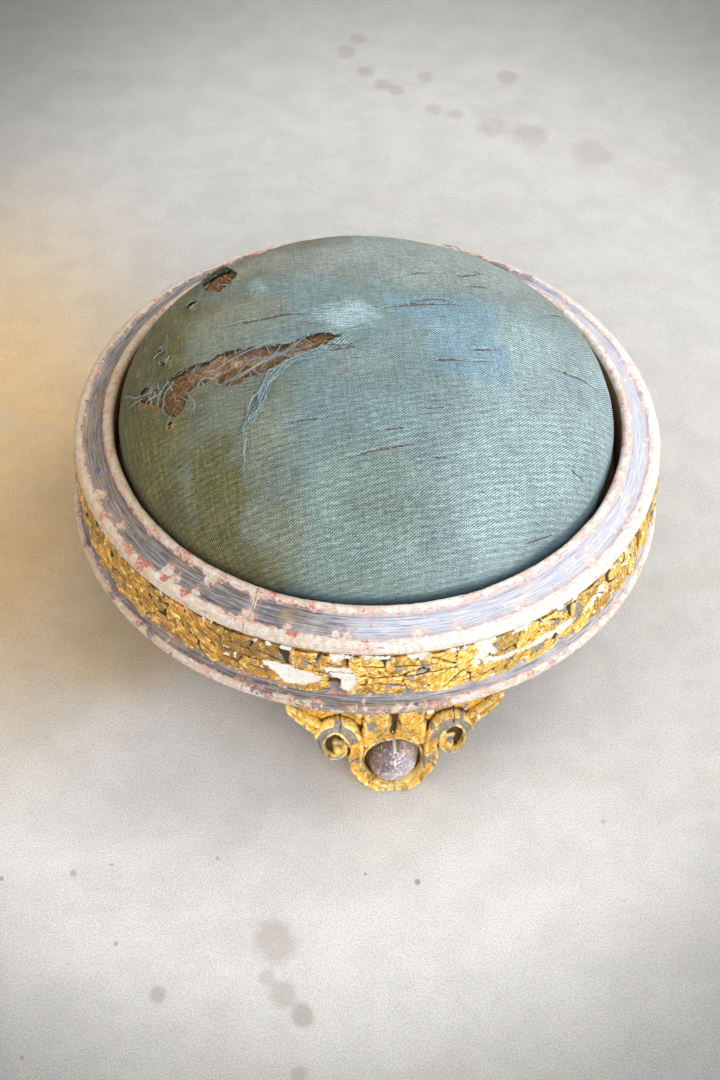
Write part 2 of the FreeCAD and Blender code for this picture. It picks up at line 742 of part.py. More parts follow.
def tear_cloth(body, dome_height):
    """Torn openings, cut straight down through the dome's cloth alone."""
    for name, corner_shares in TEAR_SHARES.items():
        sketch = new_sketch(body, name + "_tear", "XY_Plane", pad_side + dome_height)
        corners = [
            (dim.pad_radius * across_share, dim.pad_radius * up_share)
            for across_share, up_share in corner_shares
        ]
        draw_outline(sketch, corners)
        tear = body.newObject("PartDesign::Pocket", f"{body.Label}_{name}_tear_cut")
        tear.Profile = sketch
        tear.setExpression("Length", dome_height.text)
        body.Tip = tear


def make_top_cover():
    """Torn, worn cloth over the dome, turned under the pad's ring."""
    body = new_body("top_cover", shift=-dim.pad_shift)
    cloth = dim.cloth_thickness
    edge = dim.pad_radius - dim.pad_draw_in
    turned_edge = dim.pad_radius - dim.cloth_turn_under
    outer_foot = [(turned_edge, rail_bottom), (turned_edge, pad_seat), (edge, pad_seat)]
    inner_foot = [(edge - cloth, rail_bottom)]
    turn_section(body, shell_section(ZERO, cloth, outer_foot, inner_foot), FULL_TURN)
    dome_height = dome_top(ZERO)[-1][1] - pad_side
    tear_cloth(body, dome_height)
    return body


def make_wadding():
    """Fibre sheet that lies under the cloth and ends on the pad's ring."""
    body = new_body("wadding", shift=-dim.pad_shift)
    outer = dim.cloth_thickness + dim.soft_gap
    inner = outer + dim.wadding_thickness
    low = rail_top + dim.soft_gap
    edge = dim.pad_radius - dim.pad_draw_in
    outer_foot = [(edge - inner, low), (edge - outer, low)]
    turn_section(body, shell_section(outer, inner, outer_foot, []), FULL_TURN)
    return body


def make_hair_stuffing():
    """Domed cake of hair on the hessian."""
    body = new_body("hair_stuffing", shift=-dim.pad_shift)
    inset = dim.cloth_thickness + dim.wadding_thickness + dim.soft_gap * 2.0
    low = hessian_top + dim.soft_gap
    edge = dim.pad_radius - dim.pad_draw_in - inset
    section = [(ZERO, low), (edge, low)] + dome_top(inset)
    turn_section(body, section, FULL_TURN)
    return body


def make_hessian():
    """Round base cloth on the webs and the heads of their tacks."""
    disc = doc.addObject("Part::Cylinder", "hessian")
    disc.Label = "hessian"
    disc.setExpression("Radius", web_reach.text)
    disc.setExpression("Height", dim.hessian_thickness.text)
    disc.setExpression("Placement.Base.x", (-dim.pad_shift).text)
    disc.setExpression("Placement.Base.z", hessian_bottom.text)
    return disc


def make_pad_rail(index):
    """A quarter of the pad's ring, drilled for a dowel at each end."""
    span = FULL_TURN / count("pad_rail_count")
    body = new_body(f"pad_rail_{index + 1}", index * span, -dim.pad_shift)
    section = [
        (rail_inner, rail_bottom),
        (rail_outer, rail_bottom),
        (rail_outer, rail_top),
        (rail_inner, rail_top),
    ]
    turn_section(body, section, span)
    spot = (rail_middle, (rail_bottom + rail_top).half())
    hole = drill(body, "end", "XZ_Plane", ZERO, [spot], dim.pad_dowel_radius, dim.dowel_depth)
    repeat(body, hole, span, 2)
    return body


def make_pad_rail_dowels():
    height = (rail_bottom + rail_top).half()
    pins = level_pins(
        0.0, count("pad_rail_count"), rail_middle, height, dim.pad_dowel_radius, dowel_length,
        -dim.pad_shift,
    )
    return make_dowels("pad_rail_dowels", pins)


def web_offset(index):
    """Middle of a web, to the side of the pad's middle."""
    return webbing_pitch * (index - (count("web_count") - 1) / 2.0)


def web_half_length(index):
    """Half a web's length, so that its corners stay on the pad's ring."""
    aside = webbing_pitch * abs(index - (count("web_count") - 1) / 2.0)
    aside = aside + dim.webbing_width.half()
    value = math.sqrt(web_reach.value ** 2 - aside.value ** 2)
    return Size(value, f"sqrt({web_reach.text} ^ 2 - {aside.text} ^ 2)")


def make_web(index, runs_across):
    """A flat web stretched over the pad's ring."""
    label = f"webbing_{'across' if runs_across else 'along'}_{index + 1}"
    web = doc.addObject("Part::Box", label)
    web.Label = label
    reach = web_half_length(index)
    side = web_offset(index) - dim.webbing_width.half()
    long_side, short_side = (reach * 2.0).text, dim.webbing_width.text
    web.setExpression("Length", long_side if runs_across else short_side)
    web.setExpression("Width", short_side if runs_across else long_side)
    web.setExpression("Height", dim.webbing_thickness.text)
    start = (-reach, side) if runs_across else (side, -reach)
    level = rail_top if runs_across else rail_top + dim.webbing_thickness
    web.setExpression("Placement.Base.x", (start[0] - dim.pad_shift).text)
    web.setExpression("Placement.Base.y", start[1].text)
    web.setExpression("Placement.Base.z", level.text)
    return web


def tack_shape(points_up):
    """Cut tack: a flat round head and a tapering shank, with its head's face at the origin."""
    way = 1.0 if points_up else -1.0
    up = FreeCAD.Vector(0, 0, way)
    head = Part.makeCylinder(
        dim.tack_head_radius.value, dim.tack_head_height.value, FreeCAD.Vector(0, 0, 0), up
    )
    tip_share = 0.3
    shank = Part.makeCone(
        dim.tack_shank_radius.value, dim.tack_shank_radius.value * tip_share,
        dim.tack_shank_length.value,
        FreeCAD.Vector(0, 0, dim.tack_head_height.value * way), up,
    )
    return head.fuse(shank)


def make_tacks(label, spots, points_up):
    """A group of tacks, each with its head's outer face at its spot."""
    tack = tack_shape(points_up)
    copies = [tack.translated(FreeCAD.Vector(*spot)) for spot in spots]
    group = doc.addObject("Part::Feature", label)
    group.Label = label
    group.Shape = Part.makeCompound(copies)
    group.Placement = FreeCAD.Placement(
        FreeCAD.Vector(-dim.pad_shift.value, 0, 0), FreeCAD.Rotation()
    )
    return group


def make_cover_tacks():
    """Tacks up through the turned-under cloth into the pad's ring."""
    radius = (dim.pad_radius - dim.cover_tack_inset).value
    height = (pad_seat - dim.tack_head_height).value
    spots = []
    for index in range(count("cover_tack_count")):
        here = (index + 0.5) * FULL_TURN / count("cover_tack_count")
        spots.append((radius * cosine(here), radius * sine(here), height))
    return make_tacks("cover_tacks", spots, True)


def make_web_tacks():
    """Tacks down through the ends of the webs into the pad's ring."""
    spots = []
    for index in range(count("web_count")):
        along = (web_half_length(index) - dim.web_tack_inset).value
        for place in range(count("tacks_per_web_end")):
            step = place - (count("tacks_per_web_end") - 1) / 2.0
            side = (web_offset(index) + dim.web_tack_spacing * step).value
            for end in (-along, along):
                across_top = (rail_top + dim.webbing_thickness + dim.tack_head_height).value
                along_top = (webs_top + dim.tack_head_height).value
                spots.append((end, side, across_top))
                spots.append((side, end, along_top))
    return make_tacks("web_tacks", spots, False)


def make_all():
    pieces = [make_upper_felloe(index) for index in range(count("upper_felloe_count"))]
    pieces += [make_lower_felloe(index) for index in range(count("lower_felloe_count"))]
    pieces += [make_felloe_end_dowels(), make_course_dowels()]
    pieces += [make_garland(index) for index in range(count("garland_count"))]
    pieces += [make_foot(index) for index in range(count("foot_count"))]
    pieces.append(make_foot_dowels())
    pieces += [make_pad_rail(index) for index in range(count("pad_rail_count"))]
    pieces.append(make_pad_rail_dowels())
    for runs_across in (True, False):
        pieces += [make_web(index, runs_across) for index in range(count("web_count"))]
    pieces += [make_web_tacks(), make_hessian(), make_hair_stuffing(), make_wadding()]
    pieces += [make_top_cover(), make_cover_tacks()]
    return pieces


def check_model(pieces):
    """Stops before anything is written if a feature failed or a piece has no sound solid."""
    for item in doc.Objects:
        if "Invalid" in item.State or "Error" in item.State:
            raise RuntimeError(f"{item.Label} failed: {item.State}")
    for piece in pieces:
        shape = piece.Shape
        if shape.isNull() or not shape.isValid() or not shape.Solids:
            raise RuntimeError(f"{piece.Label} has no sound solid")


pieces = make_all()
doc.recompute()
check_model(pieces)
os.makedirs("parts", exist_ok=True)
for piece in pieces:
    piece.Shape.exportStep(f"parts/{piece.Label}.step")
    print(f"{piece.Label}: {len(piece.Shape.Solids)} solid(s), {piece.Shape.Volume:.0f} mm3")
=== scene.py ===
"""Worn giltwood footstool with a domed cloth pad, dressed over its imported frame."""

import functools
import itertools
import math

import bpy
import numpy as np
from bpy.props import (
    FloatProperty, FloatVectorProperty, IntProperty, PointerProperty,
)
from mathutils import Euler, Matrix, Vector


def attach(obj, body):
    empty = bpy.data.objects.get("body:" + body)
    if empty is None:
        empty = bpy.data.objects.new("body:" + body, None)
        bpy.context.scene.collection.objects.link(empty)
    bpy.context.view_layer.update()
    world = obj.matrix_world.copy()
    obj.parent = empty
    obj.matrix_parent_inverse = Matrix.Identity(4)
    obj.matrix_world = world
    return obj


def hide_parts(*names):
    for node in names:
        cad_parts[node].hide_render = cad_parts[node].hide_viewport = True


bl_info = {
    "name": "Giltwood footstool",
    "version": (1, 0, 0),
    "blender": (4, 5, 0),
    "location": "View3D > Sidebar > Footstool",
    "description": "Carved, gilt and upholstered pieces for a round footstool",
    "category": "Add Mesh",
}

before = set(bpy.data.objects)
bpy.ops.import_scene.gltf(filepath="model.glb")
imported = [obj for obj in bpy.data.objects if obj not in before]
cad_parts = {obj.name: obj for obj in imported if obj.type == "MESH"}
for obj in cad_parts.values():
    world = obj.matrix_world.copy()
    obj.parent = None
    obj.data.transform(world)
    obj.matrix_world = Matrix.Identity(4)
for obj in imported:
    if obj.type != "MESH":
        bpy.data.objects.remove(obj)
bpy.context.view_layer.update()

MM = 0.001
FRONT = -90.0


# Shapes in millimetres

def ease(value, low, high):
    """0 up to low, 1 from high on, and a smooth rise between them."""
    part = np.clip((value - low) / (high - low), 0.0, 1.0)
    return part * part * (3.0 - 2.0 * part)


def ridge(value, centre, half_width):
    """A rounded ridge of height 1."""
    return np.exp(-((value - centre) / half_width) ** 2)


def lattice_values(cells, seed):
    """A fixed random value, 0 to 1, for each whole-numbered cell."""
    x, y, z = (cells[..., axis].astype(np.int64) for axis in range(3))
    mixed = (x * 374761393 + y * 668265263 + z * 1440662683 + seed * 97471133) & 0xFFFFFFFF
    mixed = ((mixed ^ (mixed >> 13)) * 1274126177) & 0xFFFFFFFF
    mixed = mixed ^ (mixed >> 16)
    return (mixed & 0xFFFFFF) / float(0xFFFFFF)


def grain(spots, size, seed=0, layers=3):
    """Soft random values, about -1 to 1, with lumps of the given size."""
    total = np.zeros(spots.shape[:-1])
    weight, reach = 1.0, 0.0
    for layer in range(layers):
        scaled = spots / size * 2.0 ** layer + 17.3 * layer
        cell = np.floor(scaled).astype(np.int64)
        part = scaled - cell
        part = part * part * (3.0 - 2.0 * part)
        value = np.zeros(total.shape)
        for corner in itertools.product((0, 1), repeat=3):
            share = np.ones(total.shape)
            for axis, side in enumerate(corner):
                share = share * (part[..., axis] if side else 1.0 - part[..., axis])
            value += share * lattice_values(cell + np.array(corner), seed * 7 + layer)
        total += weight * (value * 2.0 - 1.0)
        reach += weight
        weight *= 0.55
    return total / reach * 1.7


def at_level_zero(flat):
    """Flat places with a height of zero."""
    return np.concatenate([flat, np.zeros(flat.shape[:-1] + (1,))], axis=-1)


def on_circle(degrees, radius, height=0.0):
    """Points on a circle round the stool's axis."""
    turn = np.radians(degrees)
    height = np.broadcast_to(height, turn.shape)
    return np.stack([radius * np.cos(turn), radius * np.sin(turn), height], axis=-1)


def to_line(spots, line):
    """Distance from flat points to a bent line, and the share of the way along it."""
    line = np.asarray(line, float)
    steps = np.hypot(*(line[1:] - line[:-1]).T)
    before = np.concatenate([[0.0], np.cumsum(steps)])
    best = np.full(spots.shape[:-1], 1e9)
    along = np.zeros(spots.shape[:-1])
    for index, step in enumerate(steps):
        start, side = line[index], line[index + 1] - line[index]
        share = np.clip(((spots - start) @ side) / max(step * step, 1e-9), 0.0, 1.0)
        gap = spots - start - share[..., None] * side
        distance = np.hypot(gap[..., 0], gap[..., 1])
        nearer = distance < best
        best = np.where(nearer, distance, best)
        along = np.where(nearer, before[index] + share * step, along)
    return best, along / before[-1]


def inside_outline(spots, outline):
    """Signed distance to a closed outline, below zero inside it."""
    outline = np.asarray(outline, float)
    distance, _ = to_line(spots, np.vstack([outline, outline[:1]]))
    crossings = np.zeros(spots.shape[:-1], int)
    for start, end in zip(outline, np.roll(outline, -1, axis=0)):
        spans = (start[1] > spots[..., 1]) != (end[1] > spots[..., 1])
        rise = end[1] - start[1] if end[1] != start[1] else 1e-9
        across = start[0] + (spots[..., 1] - start[1]) * (end[0] - start[0]) / rise
        crossings += spans & (spots[..., 0] < across)
    return np.where(crossings % 2 == 1, -distance, distance)


def smooth_line(corners, step=1.0):
    """A smooth open line through given corners."""
    corners = np.asarray(corners, float)
    padded = np.vstack([2 * corners[0] - corners[1], corners, 2 * corners[-1] - corners[-2]])
    parts = []
    for a, b, c, d in zip(padded, padded[1:], padded[2:], padded[3:]):
        count = max(2, int(np.linalg.norm(c - b) / step))
        t = np.linspace(0.0, 1.0, count, endpoint=False)[:, None]
        parts.append(0.5 * (
            2 * b + (c - a) * t + (2 * a - 5 * b + 4 * c - d) * t ** 2
            + (3 * b - a - 3 * c + d) * t ** 3
        ))
    parts.append(corners[-1:])
    return np.vstack(parts)


def blur(heights, reach, closed=False):
    """Box average over a grid of heights."""
    for axis in (0, 1):
        mode = "wrap" if closed and axis == 0 else "edge"
        width = [(reach, reach) if axis == side else (0, 0) for side in (0, 1)]
        padded = np.pad(heights, width, mode=mode)
        total = np.cumsum(padded, axis=axis)
        zero = np.zeros_like(np.take(total, [0], axis=axis))
        total = np.concatenate([zero, total], axis=axis)
        span = 2 * reach + 1
        count = heights.shape[axis]
        first = np.take(total, range(count), axis=axis)
        last = np.take(total, range(span, span + count), axis=axis)
        heights = (last - first) / span
    return heights


# Meshes

def build_piece(name, points, quads, caps=(), fields=None, chart=None):
    """A mesh object from points in millimetres, with its paint fields and its flat chart."""
    mesh = bpy.data.meshes.new(name)
    mesh.vertices.add(len(points))
    mesh.vertices.foreach_set("co", (np.asarray(points) * MM).astype(np.float32).ravel())
    quads = np.asarray(quads, int).reshape(-1, 4)
    corners = np.concatenate([quads.ravel()] + [np.asarray(cap, int) for cap in caps])
    sizes = [4] * len(quads) + [len(cap) for cap in caps]
    starts = np.concatenate([[0], np.cumsum(sizes)[:-1]])
    mesh.loops.add(len(corners))
    mesh.loops.foreach_set("vertex_index", corners.astype(np.int32))
    mesh.polygons.add(len(sizes))
    mesh.polygons.foreach_set("loop_start", starts.astype(np.int32))
    mesh.update(calc_edges=True)
    for title, values in (fields or {}).items():
        layer = mesh.attributes.new(title, "FLOAT", "POINT")
        layer.data.foreach_set("value", np.asarray(values, np.float32).ravel())
    if chart is not None:
        layer = mesh.uv_layers.new(name="chart")
        layer.data.foreach_set("uv", np.asarray(chart, np.float32)[corners].ravel())
    mesh.validate()
    mesh.shade_smooth()
    mesh.set_sharp_from_angle(angle=math.radians(50.0))
    piece = bpy.data.objects.new(name, mesh)
    bpy.context.scene.collection.objects.link(piece)
    return piece


def settle(piece, body, slot, material, *nodes):
    """Gives a piece its body, its finish and the solids that it stands for."""
    piece.data.materials.clear()
    piece.data.materials.append(material)
    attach(piece, body)
    if nodes:
        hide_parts(*nodes)
    return piece


def grid_quads(rows, columns, closed):
    """Quads between neighbouring rows, joined round the columns where closed."""
    row, column = np.meshgrid(
        np.arange(rows - 1), np.arange(columns if closed else columns - 1), indexing="ij"
    )
    following = (column + 1) % columns
    return np.stack([
        row * columns + column, row * columns + following,
        (row + 1) * columns + following, (row + 1) * columns + column,
    ], axis=-1).reshape(-1, 4)


def cut_sheet(axes, shape, keep=0.45, pull=1.2):
    """Quads of a grid where shape is below zero, with the cut edge pulled onto its line."""
    x, y = np.meshgrid(*axes)
    spots = np.stack([x, y], axis=-1)
    spacing = np.minimum(
        np.gradient(axes[0])[None, :] + 0 * y, np.gradient(axes[1])[:, None] + 0 * x
    )
    kept = shape(spots) < keep * spacing
    whole = kept[:-1, :-1] & kept[1:, :-1] & kept[:-1, 1:] & kept[1:, 1:]
    row, column = np.nonzero(whole)
    columns = len(axes[0])
    corner = row * columns + column
    quads = np.stack([corner, corner + 1, corner + columns + 1, corner + columns], axis=-1)
    used = np.unique(quads)
    renumber = np.full(x.size, -1)
    renumber[used] = np.arange(len(used))
    quads = renumber[quads]
    flat, reach = spots.reshape(-1, 2)[used], spacing.ravel()[used]
    edges = np.concatenate([quads[:, [i, (i + 1) % 4]] for i in range(4)])
    _, first, counts = np.unique(
        np.sort(edges, axis=1), axis=0, return_index=True, return_counts=True
    )
    rim = edges[first[counts == 1]]
    on_rim = np.unique(rim)
    step, limit = 0.04, pull * reach[on_rim]
    for _ in range(3):
        here = flat[on_rim]
        slope = np.stack([
            shape(here + [step, 0.0]) - shape(here - [step, 0.0]),
            shape(here + [0.0, step]) - shape(here - [0.0, step]),
        ], axis=-1)
        slope /= np.maximum(np.hypot(*slope.T), 1e-6)[:, None]
        flat[on_rim] = here - np.clip(shape(here), -limit, limit)[:, None] * slope
    return flat, quads, rim


def uneven_axes(fine_x, fine_y, fine, coarse, reach):
    """Columns and rows of a grid that is finer between the given limits."""
    axes = []
    for low, high in (fine_x, fine_y):
        before = np.linspace(-reach, low, max(2, int((low + reach) / coarse)), endpoint=False)
        middle = np.linspace(low, high, int((high - low) / fine), endpoint=False)
        after = np.linspace(high, reach, int((reach - high) / coarse) + 1)
        axes.append(np.concatenate([before, middle, after]))
    return axes


def even_axes(low, high, step):
    """Columns and rows of an even grid between two corners."""
    return [np.linspace(a, b, int((b - a) / step) + 1) for a, b in zip(low, high)]


def line_run(start, end, step):
    """Points from the start towards the end, without the end."""
    count = max(1, round(math.dist(start, end) / step))
    return [tuple(np.array(start) + (np.array(end) - start) * i / count) for i in range(count)]


def arc_run(centre, radius, first, last, step):
    """Points round an arc, from its first angle in degrees up to its last."""
    count = max(2, round(abs(math.radians(last - first)) * radius / step))
    turns = np.radians(np.linspace(first, last, count, endpoint=False))
    return [(centre[0] + radius * math.cos(t), centre[1] + radius * math.sin(t)) for t in turns]


class Section:
    """A moulding's closed section: radius and height, run length, outward normal, zones."""

    def __init__(self, runs):
        spots, zones = [], []
        for zone, run in runs:
            spots += run
            zones += [zone] * len(run)
        self.spots = np.array(spots)
        self.zones = np.array(zones)
        steps = np.roll(self.spots, -1, axis=0) - self.spots
        self.run = np.concatenate([[0.0], np.cumsum(np.hypot(*steps.T))[:-1]])
        ahead = np.roll(self.spots, -1, axis=0) - np.roll(self.spots, 1, axis=0)
        ahead /= np.hypot(*ahead.T)[:, None]
        self.normal = np.stack([-ahead[:, 1], ahead[:, 0]], axis=-1)

    def start(self, zone):
        """Run length at which a zone begins."""
        return self.run[np.argmax(self.zones == zone)]

    def within(self, *zones):
        """Which of the section's points lie in the given zones."""
        return np.isin(self.zones, zones)


def turn_section(name, section, first, span, step, carve):
    """A length of moulding: carve gives each point's height over the section, and its paint."""
    count = max(2, round(math.radians(span) * section.spots[:, 0].max() / step))
    seam = math.degrees(0.08 / section.spots[:, 0].max())
    degrees = np.linspace(first + seam, first + span - seam, count)[:, None]
    degrees = np.broadcast_to(degrees, (count, len(section.spots)))
    run = np.broadcast_to(section.run, degrees.shape)
    place = on_circle(degrees, section.spots[:, 0], section.spots[:, 1])
    height, fields = carve(degrees, run, place)
    radius = section.spots[:, 0] + section.normal[:, 0] * height
    points = on_circle(degrees, radius, section.spots[:, 1] + section.normal[:, 1] * height)
    columns = len(section.spots)
    quads = grid_quads(count, columns, True)
    caps = [np.arange(columns)[::-1], np.arange(columns) + (count - 1) * columns]
    chart = np.stack([np.radians(degrees - first) * 180.0, run], axis=-1).reshape(-1, 2)
    flat = {title: np.broadcast_to(values, degrees.shape) for title, values in fields.items()}
    return build_piece(name, points.reshape(-1, 3), quads, caps, flat, chart)


def make_tubes(name, paths, radii, sides=5):
    """Thin round threads along given paths, as one piece."""
    points, quads, caps, shade = [], [], [], []
    base = 0
    for number, (path, radius) in enumerate(zip(paths, radii)):
        path = np.asarray(path, float)
        ahead = np.gradient(path, axis=0)
        ahead /= np.maximum(np.linalg.norm(ahead, axis=1), 1e-9)[:, None]
        aside = np.cross(ahead, [0.0, 0.0, 1.0])
        weak = np.linalg.norm(aside, axis=1) < 0.05
        aside[weak] = np.cross(ahead[weak], [1.0, 0.0, 0.0])
        aside /= np.linalg.norm(aside, axis=1)[:, None]
        across = np.cross(aside, ahead)
        turn = np.arange(sides) * 2.0 * math.pi / sides
        taper = radius * (1.0 - 0.65 * np.linspace(-1.0, 1.0, len(path)) ** 6)[:, None, None]
        ring = aside[:, None] * np.cos(turn)[:, None] + across[:, None] * np.sin(turn)[:, None]
        points.append((path[:, None] + ring * taper).reshape(-1, 3))
        quads.append(grid_quads(len(path), sides, True)[:, ::-1] + base)
        caps.append(np.arange(sides) + base)
        caps.append((np.arange(sides) + base + (len(path) - 1) * sides)[::-1])
        shade.append(np.full(len(path) * sides, (number * 0.618034) % 1.0))
        base += len(path) * sides
    return build_piece(
        name, np.vstack(points), np.vstack(quads), caps, {"shade": np.concatenate(shade)}
    )


# Finishes

# The wave texture's scale for bands that are one unit apart
BAND_SCALE = 0.31416


class Value:
    """A node's result. Sums, differences, products and quotients of it add a node each."""

    def __init__(self, made, socket):
        self.made, self.socket = made, socket

    def __add__(self, other):
        return self.made.math("ADD", self, other)

    def __sub__(self, other):
        return self.made.math("SUBTRACT", self, other)

    def __rsub__(self, other):
        return self.made.math("SUBTRACT", other, self)

    def __mul__(self, other):
        return self.made.math("MULTIPLY", self, other)

    def __truediv__(self, other):
        return self.made.math("DIVIDE", self, other)


class Finish:
    """One material and the nodes that make it up."""

    def __init__(self, name):
        self.material = bpy.data.materials.new(name)
        self.material.use_nodes = True
        self.tree = self.material.node_tree
        self.shader = self.tree.nodes["Principled BSDF"]
        self.object_place = self.add("TexCoord").outputs["Object"]

    def add(self, kind, settings=None, inputs=None):
        """A new node with its settings, fed with values or other nodes' results."""
        node = self.tree.nodes.new("ShaderNode" + kind)
        for key, value in (settings or {}).items():
            setattr(node, key, value)
        for key, value in (inputs or {}).items():
            self.feed(node.inputs[key], value)
        return node

    def feed(self, socket, value):
        """Links a result to a socket, or sets a plain value there."""
        if isinstance(value, Value):
            value = value.socket
        if isinstance(value, bpy.types.NodeSocket):
            self.tree.links.new(value, socket)
        elif value is not None:
            if hasattr(value, "__len__") and len(value) == 3 and socket.type == "RGBA":
                value = (*value, 1.0)
            socket.default_value = value

    def field(self, title):
        """A painted share that the mesh carries."""
        return Value(self, self.add("Attribute", {"attribute_name": title}).outputs["Fac"])

    def parts(self, vector):
        """A place's x, y and z."""
        node = self.add("SeparateXYZ", None, {"Vector": vector})
        return [Value(self, socket) for socket in node.outputs]

    def chart(self, stretch=(1.0, 1.0, 1.0), turn=0.0):
        """Places on the flat chart, turned and stretched."""
        flat = self.add("UVMap", {"uv_map": "chart"}).outputs["UV"]
        return self.add("Mapping", None, {
            "Vector": flat, "Scale": stretch, "Rotation": (0.0, 0.0, math.radians(turn)),
        }).outputs["Vector"]

    def stretched(self, stretch, turn=(0.0, 0.0, 0.0)):
        """The piece's own places, turned and stretched."""
        return self.add("Mapping", None, {
            "Vector": self.object_place, "Scale": stretch,
            "Rotation": tuple(math.radians(part) for part in turn),
        }).outputs["Vector"]

    def noise(self, size, detail=3.0, rough=0.55, vector=None, bend=0.0):
        """Random values about 0.5. The size is in millimetres, or in chart units."""
        scale = 1.0 / (size * (MM if vector is None else 1.0))
        return Value(self, self.add("TexNoise", None, {
            "Vector": vector or self.object_place, "Scale": scale, "Detail": detail,
            "Roughness": rough, "Distortion": bend,
        }).outputs["Fac"])

    def bands(self, period, vector, bend=0.0, detail=2.0, detail_size=1.0, axis="X"):
        """Soft stripes at an even distance, bent a little."""
        return Value(self, self.add("TexWave", {"wave_type": "BANDS", "bands_direction": axis}, {
            "Vector": vector, "Scale": BAND_SCALE / period, "Distortion": bend,
            "Detail": detail, "Detail Scale": detail_size,
        }).outputs["Fac"])

    def math(self, operation, first, second=None, clamp=False):
        node = self.add("Math", {"operation": operation, "use_clamp": clamp})
        self.feed(node.inputs[0], first)
        self.feed(node.inputs[1], second)
        return Value(self, node.outputs[0])

    def most(self, first, second):
        return self.math("MAXIMUM", first, second)

    def ease(self, value, low, high, start=0.0, end=1.0):
        """A smooth change from start at low to end at high."""
        return Value(self, self.add("MapRange", {"interpolation_type": "SMOOTHSTEP"}, {
            "Value": value, "From Min": low, "From Max": high, "To Min": start, "To Max": end,
        }).outputs["Result"])

    def crisp(self, title, size=1.2, strength=0.5, low=0.45, high=0.55):
        """A painted area's field, given a ragged edge that is finer than the mesh."""
        ragged = (self.noise(size, 4.0, 0.65) - 0.5) * strength
        return self.ease(self.field(title) + ragged, low, high)

    def mix(self, first, second, share, blend="MIX"):
        """Two colours mixed; a share of one gives the second."""
        node = self.add("Mix", {"data_type": "RGBA", "blend_type": blend})
        self.feed(node.inputs[0], share)
        self.feed(node.inputs[6], first)
        self.feed(node.inputs[7], second)
        return node.outputs[2]

    def shade(self, colour, amount):
        """A colour made lighter or darker by a value about 1."""
        grey = self.add("CombineColor", None, {"Red": amount, "Green": amount, "Blue": amount})
        return self.mix(colour, grey.outputs["Color"], 1.0, "MULTIPLY")

    def bump(self, height, depth, normal=None):
        """A normal from heights, with the depth in millimetres."""
        return self.add("Bump", None, {
            "Height": height, "Distance": depth * MM, "Strength": 1.0, "Normal": normal,
        }).outputs["Normal"]

    def finish(self, colour, roughness, normal, **sockets):
        """Feeds the shader's sockets and gives the finished material."""
        self.feed(self.shader.inputs["Base Color"], colour)
        self.feed(self.shader.inputs["Roughness"], roughness)
        self.feed(self.shader.inputs["Normal"], normal)
        for title, value in sockets.items():
            self.feed(self.shader.inputs[title.replace("_", " ")], value)
        return self.material


# Settings that a user would change

def shade_property(name, description, default):
    """A colour setting with linear red, green and blue."""
    return FloatVectorProperty(
        name=name, description=description, default=default, subtype="COLOR",
        size=3, min=0.0, max=1.0,
    )


def length_property(name, description, millimetres, most):
    """A length setting, given here in millimetres and kept in metres."""
    return FloatProperty(
        name=name, description=description, default=millimetres * MM, min=0.0, max=most * MM,
        precision=5, subtype="DISTANCE", unit="LENGTH",
    )


def in_mm(length):
    """A length setting in millimetres."""
    return round(length / MM, 4)


class RingSettings(bpy.types.PropertyGroup):
    """Paint and chips of the moulded ring"""

    gesso: shade_property("Gesso", "Bare chalk ground in the chips", (0.90, 0.86, 0.82))
    bole: shade_property("Bole", "Red clay under the leaf", (0.58, 0.13, 0.075))
    # Dark and pale slate are one paint: painted shade on the left, painted light and sheen on the
    # right, where it is also rubbed
    dark_slate: shade_property("Dark slate", "Tarnished paint on the left", (0.095, 0.094, 0.105))
    pale_slate: shade_property("Pale slate", "Rubbed paint on the right", (0.50, 0.52, 0.60))
    ochre: shade_property("Ochre", "Toned varnish over the paint", (0.44, 0.27, 0.11))
    wood: shade_property("Bare wood", "Inner wall and underside", (0.40, 0.19, 0.07))
    mesh_step: length_property("Mesh step", "Length of a facet round the ring", 1.0, 5.0)
    chip_depth: length_property("Chip depth", "Depth of the lost paint", 0.45, 2.0)


class GarlandSettings(bpy.types.PropertyGroup):
    """Gilding and carving of the leaf garland"""

    gold: shade_property("Gold", "Leaf on the high places", (0.86, 0.43, 0.035))
    # Bright gold is rubbed leaf and painted highlight on the high places
    bright_gold: shade_property("Bright gold", "Rubbed high edges", (1.0, 0.77, 0.27))
    # Umber is dirt in the hollows together with the painted shade there
    umber: shade_property("Umber", "Dirt in the hollows", (0.050, 0.026, 0.010))
    slate: shade_property("Slate", "Grey ground showing through", (0.19, 0.205, 0.24))
    relief: length_property("Relief", "Height of the leaves over the ground", 5.2, 8.0)
    leaves: IntProperty(
        name="Leaves", description="Leaves of one row in a section", default=15, min=4, max=30,
    )


class FootSettings(bpy.types.PropertyGroup):
    """Carving of the feet and their silver boss"""

    silver: shade_property("Silver", "Rubbed leaf on the boss", (0.60, 0.53, 0.575))
    mesh_step: length_property("Mesh step", "Size of a facet of the carving", 0.56, 3.0)


class ClothSettings(bpy.types.PropertyGroup):
    """Colours, ribs and filling of the cloth cover"""

    teal: shade_property("Teal", "Worn ground colour of the cloth", (0.205, 0.30, 0.295))
    blue: shade_property("Blue", "Where the first colour is left", (0.19, 0.315, 0.40))
    olive: shade_property("Olive", "Old stain on the left", (0.108, 0.098, 0.018))
    grey: shade_property("Grey", "Dust and wear on the back", (0.255, 0.245, 0.185))
    pale: shade_property("Pale thread", "Rubbed and frayed threads", (0.42, 0.58, 0.62))
    rib_pitch: length_property("Rib pitch", "Distance between two ribs", 1.35, 4.0)
    fill: FloatProperty(
        name="Fill", description="How tightly the pad is stuffed", default=0.8,
        min=0.0, max=1.0, subtype="FACTOR",
    )
    most_swell: length_property("Most swell", "Most that stuffing moves the cloth", 3.0, 8.0)


